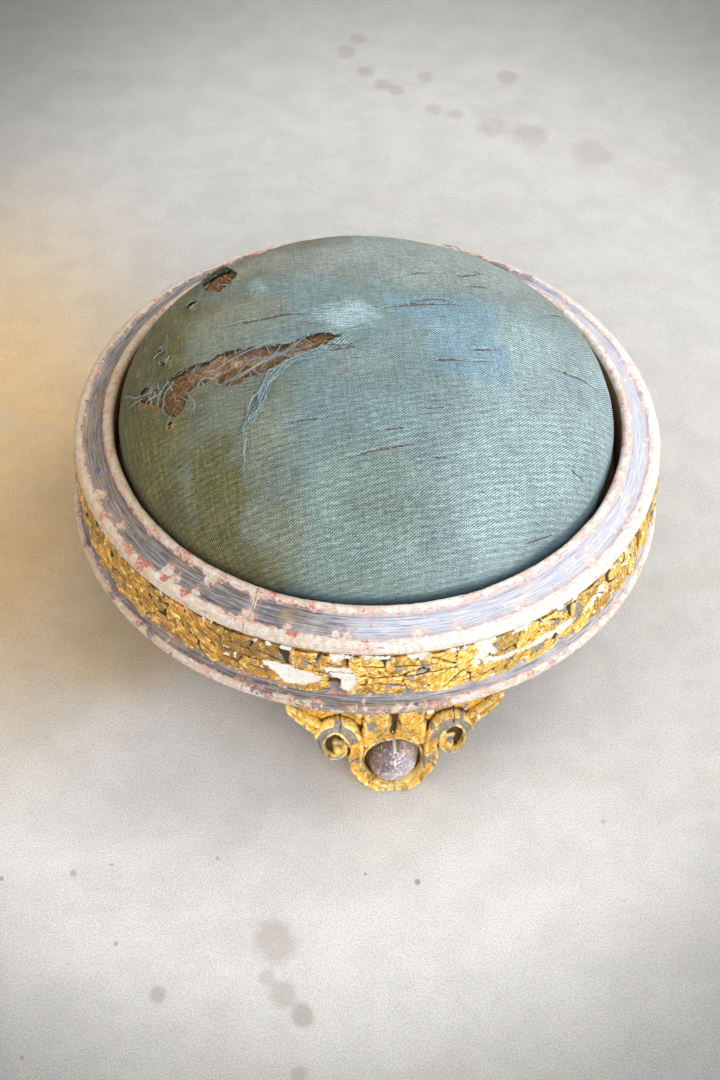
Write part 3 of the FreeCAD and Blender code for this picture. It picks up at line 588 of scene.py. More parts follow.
class StuffingSettings(bpy.types.PropertyGroup):
    """Colours of what lies inside the pad"""

    fibre: shade_property("Fibre", "Brown fibre of the wadding", (0.39, 0.235, 0.065))
    fluff: shade_property("Fluff", "Paler lumps in the fibre", (0.74, 0.57, 0.42))
    jute: shade_property("Jute", "Webs and base cloth", (0.32, 0.22, 0.12))


class StageSettings(bpy.types.PropertyGroup):
    """Floor, light and camera"""

    floor: shade_property("Floor", "Pale concrete", (0.585, 0.575, 0.55))
    key_power: FloatProperty(
        name="Key light", description="Power of the window light, in watts",
        default=34.0, min=0.0, soft_max=200.0, unit="POWER",
    )
    room_light: FloatProperty(
        name="Room light", description="Strength of the light from all sides", default=0.62,
        min=0.0, soft_max=3.0,
    )
    camera_distance: FloatProperty(
        name="Camera distance", description="From the rim's centre", default=0.972,
        min=0.3, max=5.0, subtype="DISTANCE", unit="LENGTH",
    )
    camera_height: FloatProperty(
        name="Camera elevation", description="Angle of the camera above the level",
        default=math.radians(43.71), subtype="ANGLE", unit="ROTATION",
    )


# The ring's mouldings

OPENING, LEDGE, FRIEZE, RIM, BASE_RIM = 163.5, 148.0, 186.9, 190.0, 196.0
BOTTOM, JOINT, CREST = 80.0, 112.0, 148.0
INNER_BEAD, OUTER_BEAD, OUTER_BEAD_DROP, BASE_BEAD, QUIRK = 3.7, 5.0, 13.5, 4.0, 0.8
COVE_CENTRE, COVE_RADIUS = (180.29, 147.41), 9.44
BASE_FILLET, BASE_COVE_DEPTH, BASE_COVE_HEIGHT = 1.5, 2.5, 5.0
BASE_COVE_CENTRE, BASE_COVE_RADIUS = (192.57, 92.16), 4.65
SHARED_JOINT = -118.0
CHIPS = (
    (-161.5, 181.0, 3.5), (-152.0, 180.6, 2.2), (-137.0, 179.6, 4.4), (-134.6, 180.6, 3.2),
    (-129.5, 180.8, 2.8), (-118.2, 180.6, 4.0), (-110.4, 180.4, 2.4), (-101.4, 180.0, 3.0),
    (-99.2, 180.8, 2.6), (-86.3, 180.6, 3.6), (-78.6, 180.6, 2.6), (-66.0, 181.2, 3.2),
    (-48.0, 181.6, 3.4), (-118.0, 169.6, 3.2), (-127.4, 170.0, 3.4), (-128.4, 171.2, 2.6),
)
TONGUES = (
    (-105.6, 3.2, 0.7), (-99.9, 4.6, 0.9), (-86.9, 5.2, 1.3), (-84.9, 2.6, 0.7), (-137.2, 5.4, 1.6),
    (-119.3, 3.2, 0.8), (-73.5, 2.6, 0.7), (-112.3, 2.2, 0.7), (-63.0, 2.2, 0.8), (-151.6, 2.6, 0.9),
)
RED_PATCHES = (
    (-145.6, 182.5, 6.0), (-141.6, 184.2, 6.0), (-136.0, 184.5, 3.0), (-131.0, 184.4, 3.4),
    (-109.0, 184.0, 4.0), (-156.0, 184.0, 4.0), (-96.0, 183.0, 3.0),
)
HAZE = (
    (-111.0, 175.0, 5.0), (-97.6, 175.5, 1.5), (-94.0, 174.5, 2.0), (-63.4, 174.5, 2.6),
    (-128.0, 175.0, 1.0), (-137.0, 174.0, 2.0), (-147.0, 175.0, 2.0), (-158.0, 174.5, 2.0),
)


def upper_section():
    """The upper course: opening's wall, inner bead, quirk, cove, outer bead and frieze."""
    wall_top = CREST - INNER_BEAD
    quirk = OPENING + 2.0 * INNER_BEAD
    bead = (RIM - OUTER_BEAD, CREST - OUTER_BEAD_DROP)
    return Section([
        ("wall", line_run((OPENING, JOINT), (OPENING, wall_top), 2.6)),
        ("inner_bead", arc_run((OPENING + INNER_BEAD, wall_top), INNER_BEAD, 180, 0, 0.7)),
        ("quirk", line_run((quirk, wall_top), (quirk, wall_top - QUIRK), 0.8)),
        ("quirk", line_run((quirk, wall_top - QUIRK), (quirk + QUIRK, wall_top - QUIRK), 0.8)),
        ("cove", arc_run(COVE_CENTRE, COVE_RADIUS, 204.4, 277.1, 0.7)),
        ("outer_bead", arc_run(bead, OUTER_BEAD, 135, -90, 0.7)),
        ("ground", line_run((bead[0], bead[1] - OUTER_BEAD), (FRIEZE, JOINT), 0.9)),
        ("seat", line_run((FRIEZE, JOINT), (OPENING, JOINT), 5.0)),
    ])


def lower_section():
    """The lower course: ledge, frieze, cove, fillet, base bead and underside."""
    bead = BASE_RIM - BASE_BEAD
    fillet = (bead - BASE_FILLET, BOTTOM + 2.0 * BASE_BEAD)
    frieze_foot = (fillet[0] - BASE_COVE_DEPTH, fillet[1] + BASE_COVE_HEIGHT)
    return Section([
        ("wall", line_run((LEDGE, BOTTOM), (LEDGE, JOINT), 4.0)),
        ("seat", line_run((LEDGE, JOINT), (FRIEZE, JOINT), 4.0)),
        ("ground", line_run((FRIEZE, JOINT), frieze_foot, 1.2)),
        ("cove", arc_run(BASE_COVE_CENTRE, BASE_COVE_RADIUS, 169.6, 243.5, 0.7)),
        ("fillet", line_run(fillet, (bead, fillet[1]), 0.7)),
        ("base_bead", arc_run((bead, BOTTOM + BASE_BEAD), BASE_BEAD, 90, -90, 0.65)),
        ("underside", line_run((bead, BOTTOM), (LEDGE, BOTTOM), 3.5)),
    ])


def from_angle(degrees, centre):
    """Angle past a centre, between -180 and 180 degrees."""
    return (degrees - centre + 180.0) % 360.0 - 180.0


def spots_depth(place, spots):
    """How far inside the nearest of some round spots a point lies, in millimetres."""
    depth = np.full(place.shape[:-1], -9.0)
    for degrees, radius, size in spots:
        centre = on_circle(np.array(degrees), radius)
        gap = np.hypot(place[..., 0] - centre[0], place[..., 1] - centre[1])
        depth = np.maximum(depth, size - gap)
    return depth


def joint_gap(degrees, joint, radius=180.0):
    """Distance along the ring to a joint."""
    return np.abs(np.radians(from_angle(degrees, joint))) * radius


def lit_and_worn_side(degrees):
    """Share of painted light from the right, which also places the rubbed paint and chips: least on the
    left, most on the right.
    """
    return 1.0 - ease(np.abs(from_angle(degrees, -28.0)), 35.0, 98.0)


def carve_upper(section, chip_depth):
    """Worn surface and paint of the upper course."""
    def carve(degrees, run, place):
        rim = on_circle(degrees, 182.0)
        light_and_wear = lit_and_worn_side(degrees)
        edge = section.start("outer_bead") + 2.3 + 6.0 * light_and_wear * (1.0 - light_and_wear) - 1.1 * light_and_wear
        edge = edge + 1.2 * grain(rim, 8.0, 11) + 0.7 * grain(rim, 2.6, 12)
        edge = edge - 6.0 * np.clip(grain(rim, 3.4, 13) - 0.62, 0.0, 1.0)
        for angle, reach, width in TONGUES:
            edge = edge - reach * ridge(np.radians(from_angle(degrees, angle)) * 182.0, 0.0, width)
        outer = run - edge
        first, last = section.start("inner_bead"), section.start("quirk")
        inner = first + 8.8 + 1.2 * (1.0 - light_and_wear) + 1.4 * grain(rim, 6.0, 14) - run
        inner = inner + 1.0 * grain(rim, 2.2, 15)
        filler = 1.3 + 0.9 * grain(place, 3.0, 16) - joint_gap(degrees, SHARED_JOINT)
        spots = spots_depth(place, CHIPS) + 1.2 * grain(place, 3.2, 17)
        bare = np.maximum(np.maximum(outer, inner), np.maximum(spots, filler))
        bare = np.maximum(bare, 11.0 * (grain(place, 5.0, 18) - 1.02 + 0.22 * light_and_wear))
        red = ease(spots_depth(place, RED_PATCHES) + 1.5 * grain(place, 3.0, 19), -1.5, 1.5)
        red = np.maximum(red, 0.35 * ease(grain(place, 9.0, 20), 0.0, 0.7))
        on_inner = ease(last + 1.0 - run, 0.0, 1.0)
        red = np.maximum(red, 0.62 * on_inner * ease(grain(place, 7.0, 21), -0.3, 0.5))
        haze = ease(spots_depth(place, HAZE) + 2.5 * grain(place, 4.0, 22), -3.0, 4.0)
        # The ochre haze is toned varnish, and towards the left it is also painted warm bounce light
        haze = np.maximum(haze, 0.6 * (1.0 - light_and_wear) * ease(grain(place, 11.0, 26), -0.3, 0.8))
        warm_bounce_side = 1.0 - ease(np.abs(from_angle(degrees, 178.0)), 22.0, 52.0)
        haze = np.maximum(haze, warm_bounce_side * (0.62 + 0.4 * grain(place, 9.0, 27)))
        wall = 1.0 - ease(run, first - 0.6, first + 1.0)
        wall = np.maximum(wall, section.within("seat") * 1.0)
        lost = ease(bare, -0.4, 0.5) * (1.0 - wall)
        height = 0.22 * grain(place, 24.0, 23) + 0.10 * grain(place, 7.0, 24)
        height = height - chip_depth * (0.62 + 0.5 * ease(grain(place, 4.0, 25), 0.0, 0.6)) * lost
        height = height + 0.14 * ridge(bare, -0.5, 0.6)
        height = height * (~section.within("seat", "wall"))
        return height, {
            "bare": np.clip(bare, -9.0, 9.0), "red": red, "haze": haze, "wood": wall,
            # Share of painted light from the right, which also places the rubbing
            "rubbed": 0.0, "pale": light_and_wear, "split": joint_gap(degrees, SHARED_JOINT),
            # Painted warm bounce light on the far left
            "warm": warm_bounce_side,
        }
    return carve


def carve_lower(section, chip_depth):
    """Worn surface and paint of the lower course."""
    def carve(degrees, run, place):
        light_and_wear = lit_and_worn_side(degrees)
        left = 1.0 - light_and_wear
        bead, under = section.start("base_bead"), section.start("underside")
        front = ridge(from_angle(degrees, FRONT + 2.0), 0.0, 15.0)
        inside = np.minimum(run - bead - 0.5, under + 0.6 - run)
        wear = grain(place, 8.0, 31) + 0.25 * left + 0.45 * light_and_wear - 1.7 * front
        wear = np.maximum(wear, 0.9 - 0.14 * np.abs(from_angle(degrees, -73.0)))
        flakes = 11.0 * (grain(place, 5.0, 32) - 0.74) * (run > section.start("cove") + 3.0) - 0.2
        bare = np.maximum(np.minimum(inside, 4.5 * (wear + 0.18)), flakes)
        bare = np.maximum(bare, np.minimum(inside, 5.0 * (grain(place, 2.8, 33) - 0.35)))
        red = np.maximum(0.5 * ease(grain(place, 7.0, 34), 0.0, 0.7), 0.15 * front)
        # Ochre haze on the left: toned varnish and painted warm bounce light
        haze = 0.7 * left * ease(grain(place, 9.0, 35), -0.2, 0.5)
        hidden = section.within("wall", "seat") * 1.0
        below = ease(run, under - 0.5, under + 2.5) * (section.zones == "underside")
        rubbed = ease(inside, -0.6, 0.6) * ease(front + 0.35 * grain(place, 5.0, 36), 0.2, 0.5)
        rubbed = np.maximum(rubbed, ease(inside, -0.6, 0.6) * ease(grain(place, 6.0, 37), 0.35, 0.7))
        height = 0.18 * grain(place, 26.0, 38) + 0.08 * grain(place, 6.0, 39)
        height = height - chip_depth * ease(bare, -0.4, 0.5)
        dents = ease(grain(place, 5.0, 40), 0.55, 0.9) * ease(inside, 0.0, 1.0)
        height = (height - 0.9 * dents) * (~section.within("wall", "seat"))
        return height, {
            "bare": np.clip(bare, -9.0, 9.0), "red": red, "haze": haze,
            # A weaker share of the painted light from the right
            "wood": np.maximum(hidden, below), "rubbed": rubbed, "pale": light_and_wear * 0.45,
            "split": joint_gap(degrees, SHARED_JOINT, 190.0),
            # Painted warm bounce light on the far left
            "warm": 1.0 - ease(np.abs(from_angle(degrees, 178.0)), 22.0, 60.0),
        }
    return carve


def chalk_ground(made, settings, left):
    """Bare chalk with cream, pink, red and yellow stains in it, given painted shade and painted warm
    bounce light towards the left.
    """
    red = made.field("red")
    # More cream towards the left: painted warm bounce light
    cream = made.noise(4.0, 5.0, 0.65) + left * 0.12
    colour = made.mix(settings.gesso, (0.80, 0.62, 0.42), made.ease(cream, 0.48, 0.70, 0.0, 0.85))
    pink = made.noise(3.2, 4.0, 0.65) + red * 0.36
    colour = made.mix(colour, (0.84, 0.56, 0.49), made.ease(pink, 0.56, 0.72, 0.0, 0.85))
    deep = made.noise(2.2, 4.0, 0.65) + red * 0.26
    deep = deep + left * 0.085
    colour = made.mix(colour, settings.bole, made.ease(deep, 0.72, 0.84, 0.0, 0.9))
    yellow = made.ease(made.noise(2.4, 3.0, 0.6, bend=0.5), 0.62, 0.70, 0.0, 0.7)
    colour = made.mix(colour, (0.78, 0.45, 0.12), yellow)
    soot = made.ease(made.noise(1.2, 4.0, 0.7), 0.60, 0.72)
    soot = soot * made.ease(left, 0.0, 1.0, 0.18, 0.75)
    colour = made.mix(colour, (0.16, 0.10, 0.07), soot)
    streak = made.noise(1.0, 4.0, 0.65, made.chart((0.075, 0.62, 1.0)))
    streak = streak + left * 0.04
    colour = made.mix(colour, (0.62, 0.21, 0.14), made.ease(streak, 0.60, 0.68, 0.0, 0.8))
    brown = made.ease(streak, 0.42, 0.34) * (left * 0.7)
    colour = made.mix(colour, (0.42, 0.27, 0.15), brown)
    # Painted warm bounce light: the chalk turns cream on the far left
    colour = made.mix(colour, (0.66, 0.47, 0.25), made.field("warm") * 0.5)
    # Painted shade: the chalk is darker towards the left
    return made.shade(colour, made.ease(left, 0.0, 1.0, 1.0, 0.82))


def frame_paint(settings):
    """Slate paint over red bole and white gesso, streaked along the ring and chipped; it is painted
    dark in shade on the left and pale with painted light and sheen on the right, where it is also
    rubbed.
    """
    made = Finish("frame_gesso_paint")
    # Share of painted light from the right; it also stands for rubbed paint
    light_and_wear = made.field("pale")
    left = 1.0 - light_and_wear
    streaks = made.noise(1.0, 5.0, 0.65, made.chart((0.045, 1.1, 1.0)))
    scratches = made.noise(1.0, 3.0, 0.6, made.chart((0.06, 2.6, 1.0), 4.0))
    clouds = made.noise(16.0, 4.0, 0.6)
    # Painted light and shade: dark slate on the shaded left, pale slate with painted sheen on the lit
    # right
    dark = made.mix(settings.dark_slate, (0.38, 0.35, 0.33), made.ease(streaks, 0.40, 0.64))
    pale = made.mix(settings.pale_slate, (0.70, 0.70, 0.76), made.ease(streaks, 0.44, 0.64))
    lines = made.ease(streaks, 0.47, 0.36) * made.ease(left, 0.0, 0.6, 0.35, 0.95)
    pale = made.mix(pale, (0.10, 0.105, 0.14), lines)
    share = light_and_wear + (clouds - 0.5) * 0.9
    colour = made.mix(dark, pale, made.ease(share, 0.05, 0.62))
    colour = made.mix(colour, (0.74, 0.71, 0.68), made.ease(scratches, 0.62, 0.70, 0.0, 0.5))
    specks = made.ease(made.noise(1.0, 2.0), 0.66, 0.72)
    colour = made.mix(colour, (0.05, 0.045, 0.05), specks * 0.55)
    # The ochre haze: toned varnish, with painted warm bounce light on the left
    haze = made.field("haze") + (made.noise(3.2, 4.0, 0.65) - 0.5) * 1.1
    # The ochre is painted paler where the light falls, on the right
    ochre = made.mix(settings.ochre, (0.80, 0.66, 0.44), light_and_wear)
    haze = haze + (scratches - 0.5) * 1.2
    colour = made.mix(colour, ochre, made.ease(haze, 0.25, 1.15, 0.0, 0.66))
    rubbed = made.crisp("rubbed", 2.5, 0.8, 0.35, 0.65)
    worn = made.mix((0.13, 0.095, 0.075), (0.50, 0.39, 0.29), made.ease(streaks, 0.36, 0.64))
    colour = made.mix(colour, worn, rubbed)
    wander = (made.noise(2.8, 4.0, 0.65) - 0.5) * 2.6 + (made.noise(0.9, 3.0, 0.6) - 0.5) * 1.3
    spikes = made.ease(made.noise(1.0, 2.0, 0.5, made.chart((0.85, 0.16, 1.0))), 0.58, 0.82, 0.0, 3.4)
    bare = made.field("bare") + (wander + spikes)
    # Pink round the chips and the bole line are bole, laid on paler and stronger on the right as
    # painted light
    blush = made.ease(bare, -4.0, -0.6) * made.ease(light_and_wear, 0.0, 1.0, 0.08, 0.42)
    colour = made.mix(colour, (0.86, 0.62, 0.58), blush)
    line_share = made.noise(4.0, 3.0) + light_and_wear * 0.22
    line_tone = made.mix(settings.bole, (0.90, 0.58, 0.52), made.ease(line_share, 0.40, 0.62))
    patchy_line = made.ease(made.noise(5.0, 4.0, 0.6), 0.46, 0.62, 0.0, 0.9)
    colour = made.mix(colour, line_tone, made.ease(bare, -1.9, -0.7) * patchy_line)
    gesso = made.ease(bare, -0.15, 0.35)
    colour = made.mix(colour, chalk_ground(made, settings, left), gesso)
    figure = made.noise(1.0, 5.0, 0.6, made.chart((0.02, 0.6, 1.0)), 0.6)
    grain_tone = made.mix(settings.wood, (0.30, 0.17, 0.085), made.ease(figure, 0.35, 0.7))
    colour = made.mix(colour, grain_tone, made.crisp("wood", 2.5, 0.5, 0.46, 0.56))
    wobble = (made.noise(3.0, 4.0, 0.65) - 0.5) * 2.6
    crack = made.ease(made.field("split") + wobble, 0.30, 0.10)
    colour = made.mix(colour, (0.34, 0.27, 0.21), crack * 0.45)
    pits = made.ease(made.noise(0.9, 3.0), 0.60, 0.72)
    relief = streaks * 0.25 - gesso * 0.7
    relief = relief - (pits * 0.3 + crack)
    relief = relief + made.noise(2.4, 5.0, 0.6) * 0.55
    rough = made.ease(gesso, 0.0, 1.0, 0.46, 0.82)
    return made.finish(colour, rough, made.bump(relief, 0.5), Specular_IOR_Level=0.4)


def make_ring(settings):
    """Both courses of the ring, each felloe as its own piece."""
    paint = frame_paint(settings)
    upper, lower = upper_section(), lower_section()
    step, chip_depth = in_mm(settings.mesh_step), in_mm(settings.chip_depth)
    courses = (
        ("upper", 4, upper, carve_upper(upper, chip_depth)),
        ("lower", 3, lower, carve_lower(lower, chip_depth)),
    )
    for course, count, section, carve in courses:
        span = 360.0 / count
        for index in range(count):
            node = f"{course}_felloe_{index + 1}"
            first = SHARED_JOINT + index * span
            piece = turn_section("gesso_" + node, section, first, span, step, carve)
            settle(piece, "frame", "frame_gesso", paint, node)


# The leaf garland on the frieze

GARLAND_START, SECTION_SPAN = -122.0, 90.0
GARLAND_ROWS, GARLAND_COLUMNS, BACK_COLUMNS = 620, 64, 5
LOW_EDGE, HIGH_EDGE = 94.6, 127.9
LOSSES = (
    ((-114.5, 113.1), (-112.4, 114.2), (-109.9, 112.3), (-107.4, 111.2), (-104.3, 109.3),
     (-103.2, 106.8), (-104.6, 103.0), (-107.4, 99.6), (-109.8, 98.2), (-110.9, 101.7),
     (-111.1, 105.4), (-112.7, 107.9), (-114.1, 109.6)),
    ((-103.3, 118.3), (-102.1, 119.6), (-101.0, 117.3), (-99.0, 118.2), (-97.7, 116.1),
     (-97.3, 108.8), (-97.5, 101.0), (-98.5, 99.0), (-99.6, 100.1), (-100.1, 106.4),
     (-102.1, 110.2), (-102.9, 113.5)),
    ((-102.4, 129.0), (-99.2, 129.0), (-99.9, 125.6), (-101.0, 122.4), (-101.6, 124.6)),
    ((-88.9, 129.0), (-84.3, 129.0), (-85.4, 125.6), (-87.8, 124.4)),
    ((-76.2, 129.0), (-73.6, 129.0), (-72.3, 122.3), (-71.9, 117.3), (-74.7, 114.6),
     (-75.1, 110.6), (-76.2, 109.5), (-76.6, 114.9), (-75.4, 119.3)),
    ((-74.7, 112.3), (-72.3, 113.8), (-67.1, 111.6), (-60.0, 112.4), (-54.2, 112.9), (-54.8, 108.4),
     (-61.0, 107.4), (-66.9, 107.2), (-71.6, 108.5), (-74.0, 108.3)),
    ((-52.6, 110.0), (-48.4, 119.6), (-45.6, 121.0), (-46.4, 112.4), (-48.8, 107.0)),
    ((-97.4, 129.0), (-94.3, 129.0), (-95.6, 126.3)), ((-40.0, 113.0), (-36.6, 121.0), (-34.8, 112.5)),
    ((-24.0, 101.0), (-20.0, 112.0), (-17.0, 104.0)), ((8.0, 110.0), (11.0, 117.0), (16.0, 112.0)),
    ((61.0, 99.0), (62.0, 108.0), (65.5, 103.0)), ((118.0, 113.0), (121.0, 121.0), (124.0, 114.0)),
)
LEAF_ROWS = ((119.0, 0.0, 1.0), (103.6, 0.52, 1.0), (111.6, 0.28, 0.62), (98.0, 0.05, 0.5))


def leaf_shape(along, aside, length, half, luck):
    """One leaf's height share over its own length and width."""
    part = along / length
    round_end = np.sqrt(np.clip(1.0 - (1.0 - np.clip(part / 0.30, 0.0, 1.0)) ** 2, 0.0, 1.0))
    point = np.clip(1.0 - ease(part, 0.42, 1.06), 0.0, 1.0) ** 0.6
    lobed = 0.84 + 0.22 * np.abs(np.sin(part * math.pi * (2.2 + luck[4]) + 3.0 * luck[5]))
    side = aside / np.maximum(half * round_end * point * lobed, 1e-3)
    mask = (part > 0.0) & (part < 1.0) & (np.abs(side) < 1.0)
    body = np.clip(1.0 - side ** 2, 0.0, 1.0) ** 0.48
    rise = 0.98 - 0.50 * ease(part, 0.05, 1.0) + 0.22 * (luck[6] - 0.5)
    rise += 0.30 * side * (luck[2] - 0.5)
    rise -= 0.30 * np.exp(-(side / 0.13) ** 2) * ease(part, 0.10, 0.30)
    veins = np.sin((along - 1.2 * np.abs(aside)) * 1.6 + 6.0 * luck[5])
    rise += 0.06 * veins * ease(np.abs(side), 0.1, 0.35)
    return np.where(mask, rise * body, 0.0)


def leaf_relief(along, level, reach, leaves, seed):
    """Leaves laid over each other: height share and a tone of each leaf's own."""
    pitch = reach / leaves
    share, tone = np.zeros(along.shape), np.zeros(along.shape)
    for row, (centre, offset, scale) in enumerate(LEAF_ROWS):
        for number in range(-1, leaves + 1):
            cells = np.array([[number + 50, row, k] for k in range(8)])
            luck = lattice_values(cells, seed)
            slant = math.radians(84.0 * (luck[0] - 0.5) + (10.0 if row == 1 else -8.0))
            length = pitch * (1.10 + 0.55 * luck[1]) * scale
            start = (number + offset + 0.34 * (luck[2] - 0.5)) * pitch
            middle = centre + 4.6 * (luck[3] - 0.5) - 0.5 * length * math.sin(slant)
            near = np.abs(along[:, 0] - start - 0.5 * length) < 0.9 * length
            if not near.any():
                continue
            past, rise = along[near] - start, level[near] - middle
            bend = 0.014 * (past - 0.5 * length) ** 2 * (luck[4] - 0.5)
            forward = past * math.cos(slant) + rise * math.sin(slant)
            aside = rise * math.cos(slant) - past * math.sin(slant) + bend
            leaf = leaf_shape(forward, aside, length, (9.8 + 2.4 * luck[7]) * scale, luck)
            if scale < 1.0:
                leaf = leaf * 0.8
            over = leaf > share[near]
            share[near] = np.where(over, leaf, share[near])
            tone[near] = np.where(over, luck[5], tone[near])
    return share, tone


def bladed_relief(along, height, place):
    """Denser carving of thin blades and pierced hollows, left of the front foot."""
    bend = 3.0 * grain(place, 18.0, 51)
    slanted = height + 0.62 * along + bend * 2.0
    crossed = height - 0.25 * along + 2.5 * grain(place, 12.0, 52)
    blades = np.abs(np.sin(slanted * math.pi / 10.5 + 1.2 * grain(place, 12.0, 53)))
    fine = np.abs(np.sin(slanted * math.pi / 3.5 + 0.12 * crossed + 1.2 * grain(place, 9.0, 54)))
    swell = 0.56 + 0.40 * grain(place, 15.0, 55)
    share = swell * (0.30 + 0.70 * blades ** 0.6) + 0.16 * fine
    holes = ease(grain(place, 6.5, 56, 2), 0.50, 0.80)
    return np.clip(share * (1.0 - 0.95 * holes), 0.0, 1.2), holes


def garland_surface(index, settings):
    """Height over the frieze's ground and the paint, over a section's flat grid."""
    first = GARLAND_START + index * SECTION_SPAN
    degrees = np.linspace(first + 0.03, first + SECTION_SPAN - 0.03, GARLAND_ROWS)[:, None]
    degrees = np.broadcast_to(degrees, (GARLAND_ROWS, GARLAND_COLUMNS))
    level = np.broadcast_to(np.linspace(LOW_EDGE, HIGH_EDGE, GARLAND_COLUMNS), degrees.shape)
    along = np.radians(degrees - first) * RIM
    place = on_circle(degrees, RIM, level)
    warp = 1.1 * grain(place, 13.0, 61)
    reach = math.radians(SECTION_SPAN) * RIM
    share, tone = leaf_relief(along + warp, level + 0.7 * warp, reach, settings.leaves, 100 + index)
    old_work = 1.0 if index == 3 else 0.0
    bladed, holes = bladed_relief(along, level, place)
    share = share * (1.0 - old_work) + bladed * old_work
    tone = tone * (1.0 - old_work) + (0.5 + 0.5 * grain(place, 7.0, 62)) * old_work
    tooled = 0.05 * grain(place, 3.0, 63) + 0.06 * grain(place, 7.0, 64)
    share = share + tooled * ease(share, 0.1, 0.4)
    share = np.maximum(share, 0.05 + 0.07 * grain(place, 4.0, 65))
    lost = np.full(share.shape, -9.0)
    for corners in LOSSES:
        middle = corners[0][0]
        flat = np.stack([np.radians(from_angle(degrees, middle)) * RIM, level], axis=-1)
        near = np.abs(flat[:, 0, 0]) < 90.0
        outline = [(math.radians(turn - middle) * RIM, up) for turn, up in corners]
        lost[near] = np.maximum(lost[near], -inside_outline(flat[near], outline))
    lost = lost + 0.8 * grain(place, 3.5, 66)
    hidden_side = ease(np.abs(from_angle(degrees, -100.0)), 75.0, 95.0)
    lost = np.maximum(lost, 9.0 * hidden_side * (grain(place, 22.0, 67) - 0.66))
    chips = ease(grain(place, 3.6, 68), 0.72, 0.92) * ease(share, 0.3, 0.6)
    round_place = on_circle(degrees, RIM)
    split_level = JOINT + 1.1 * grain(round_place, 16.0, 69)
    split = np.abs(level - split_level)
    open_split = ease(grain(round_place, 60.0, 70), -0.4, 0.1)
    open_split = open_split * (1.0 - old_work)
    open_split = np.where(np.abs(from_angle(degrees, -74.0)) < 29.0, 1.0, open_split)
    edge_fall = 1.0 - 0.5 * ease(level, HIGH_EDGE - 1.2, HIGH_EDGE)
    edge_fall = ease(level, LOW_EDGE, LOW_EDGE + 1.6) * edge_fall
    share = np.maximum(share, 0.34 * ease(level + 1.2 * grain(place, 6.0, 75), 123.5, 126.0))
    height = in_mm(settings.relief) * np.clip(share * (0.12 + 0.88 * edge_fall), 0.0, 1.12)
    flat = ease(lost, -0.2, 0.5)
    height = height * (1.0 - flat) + (1.1 + 0.45 * grain(place, 6.0, 71)) * flat
    height = np.maximum(height - 0.9 * chips - 0.8 * ridge(split, 0.0, 0.6) * open_split, 0.15)
    # Painted shade in the hollows, in the gaps between the leaves and in the pierced holes
    near_blur = blur(height, 3)
    hollow = np.clip((near_blur - height) / 0.62, 0.0, 1.0)
    hollow = np.maximum(hollow, 0.55 * np.clip((blur(height, 8) - height) / 1.5, 0.0, 1.0))
    hollow = np.maximum(hollow, ease(1.6 - height, 0.0, 1.0)) * (1.0 - flat)
    under_bead = ease(level, 124.0, 126.0) * ease(grain(place, 5.0, 76), -0.5, 0.2) * (share < 0.4)
    hollow = np.maximum(hollow, old_work * holes)
    # Share of the painted highlight on the high places
    proud = np.clip((height - near_blur) / 0.55, 0.0, 1.0)
    grey = ease(grain(place, 8.0, 72) + 0.45 * ease(2.2 - height, 0.0, 1.2), 0.34, 0.6)
    bare_ground = ease(104.0 + 3.0 * grain(place, 9.0, 73) - level, 0.0, 3.0)
    bare_ground = ease(1.5 - height, 0.0, 0.8) * bare_ground
    grey = np.maximum(grey * (1.0 - 0.5 * old_work), bare_ground)
    hollow = hollow * (1.0 - 0.75 * bare_ground)
    chalk = np.maximum(ease(lost, -0.3, 0.4), 0.7 * chips * (1.0 - 0.5 * old_work))
    chalk = np.maximum(chalk, 0.8 * under_bead)
    chalk = np.maximum(chalk, 0.75 * ease(grain(place, 4.2, 74), 0.66, 0.9) * lit_and_worn_side(degrees))
    fields = {
        "gesso": chalk, "slate": grey * (1.0 - flat), "hollow": hollow, "proud": proud,
        "split": split + 2.0 * (1.0 - open_split), "tone": tone,
        # Share of painted shade towards the left of the ring
        "side_shade": 1.0 - lit_and_worn_side(degrees),
    }
    return degrees, level, height, fields


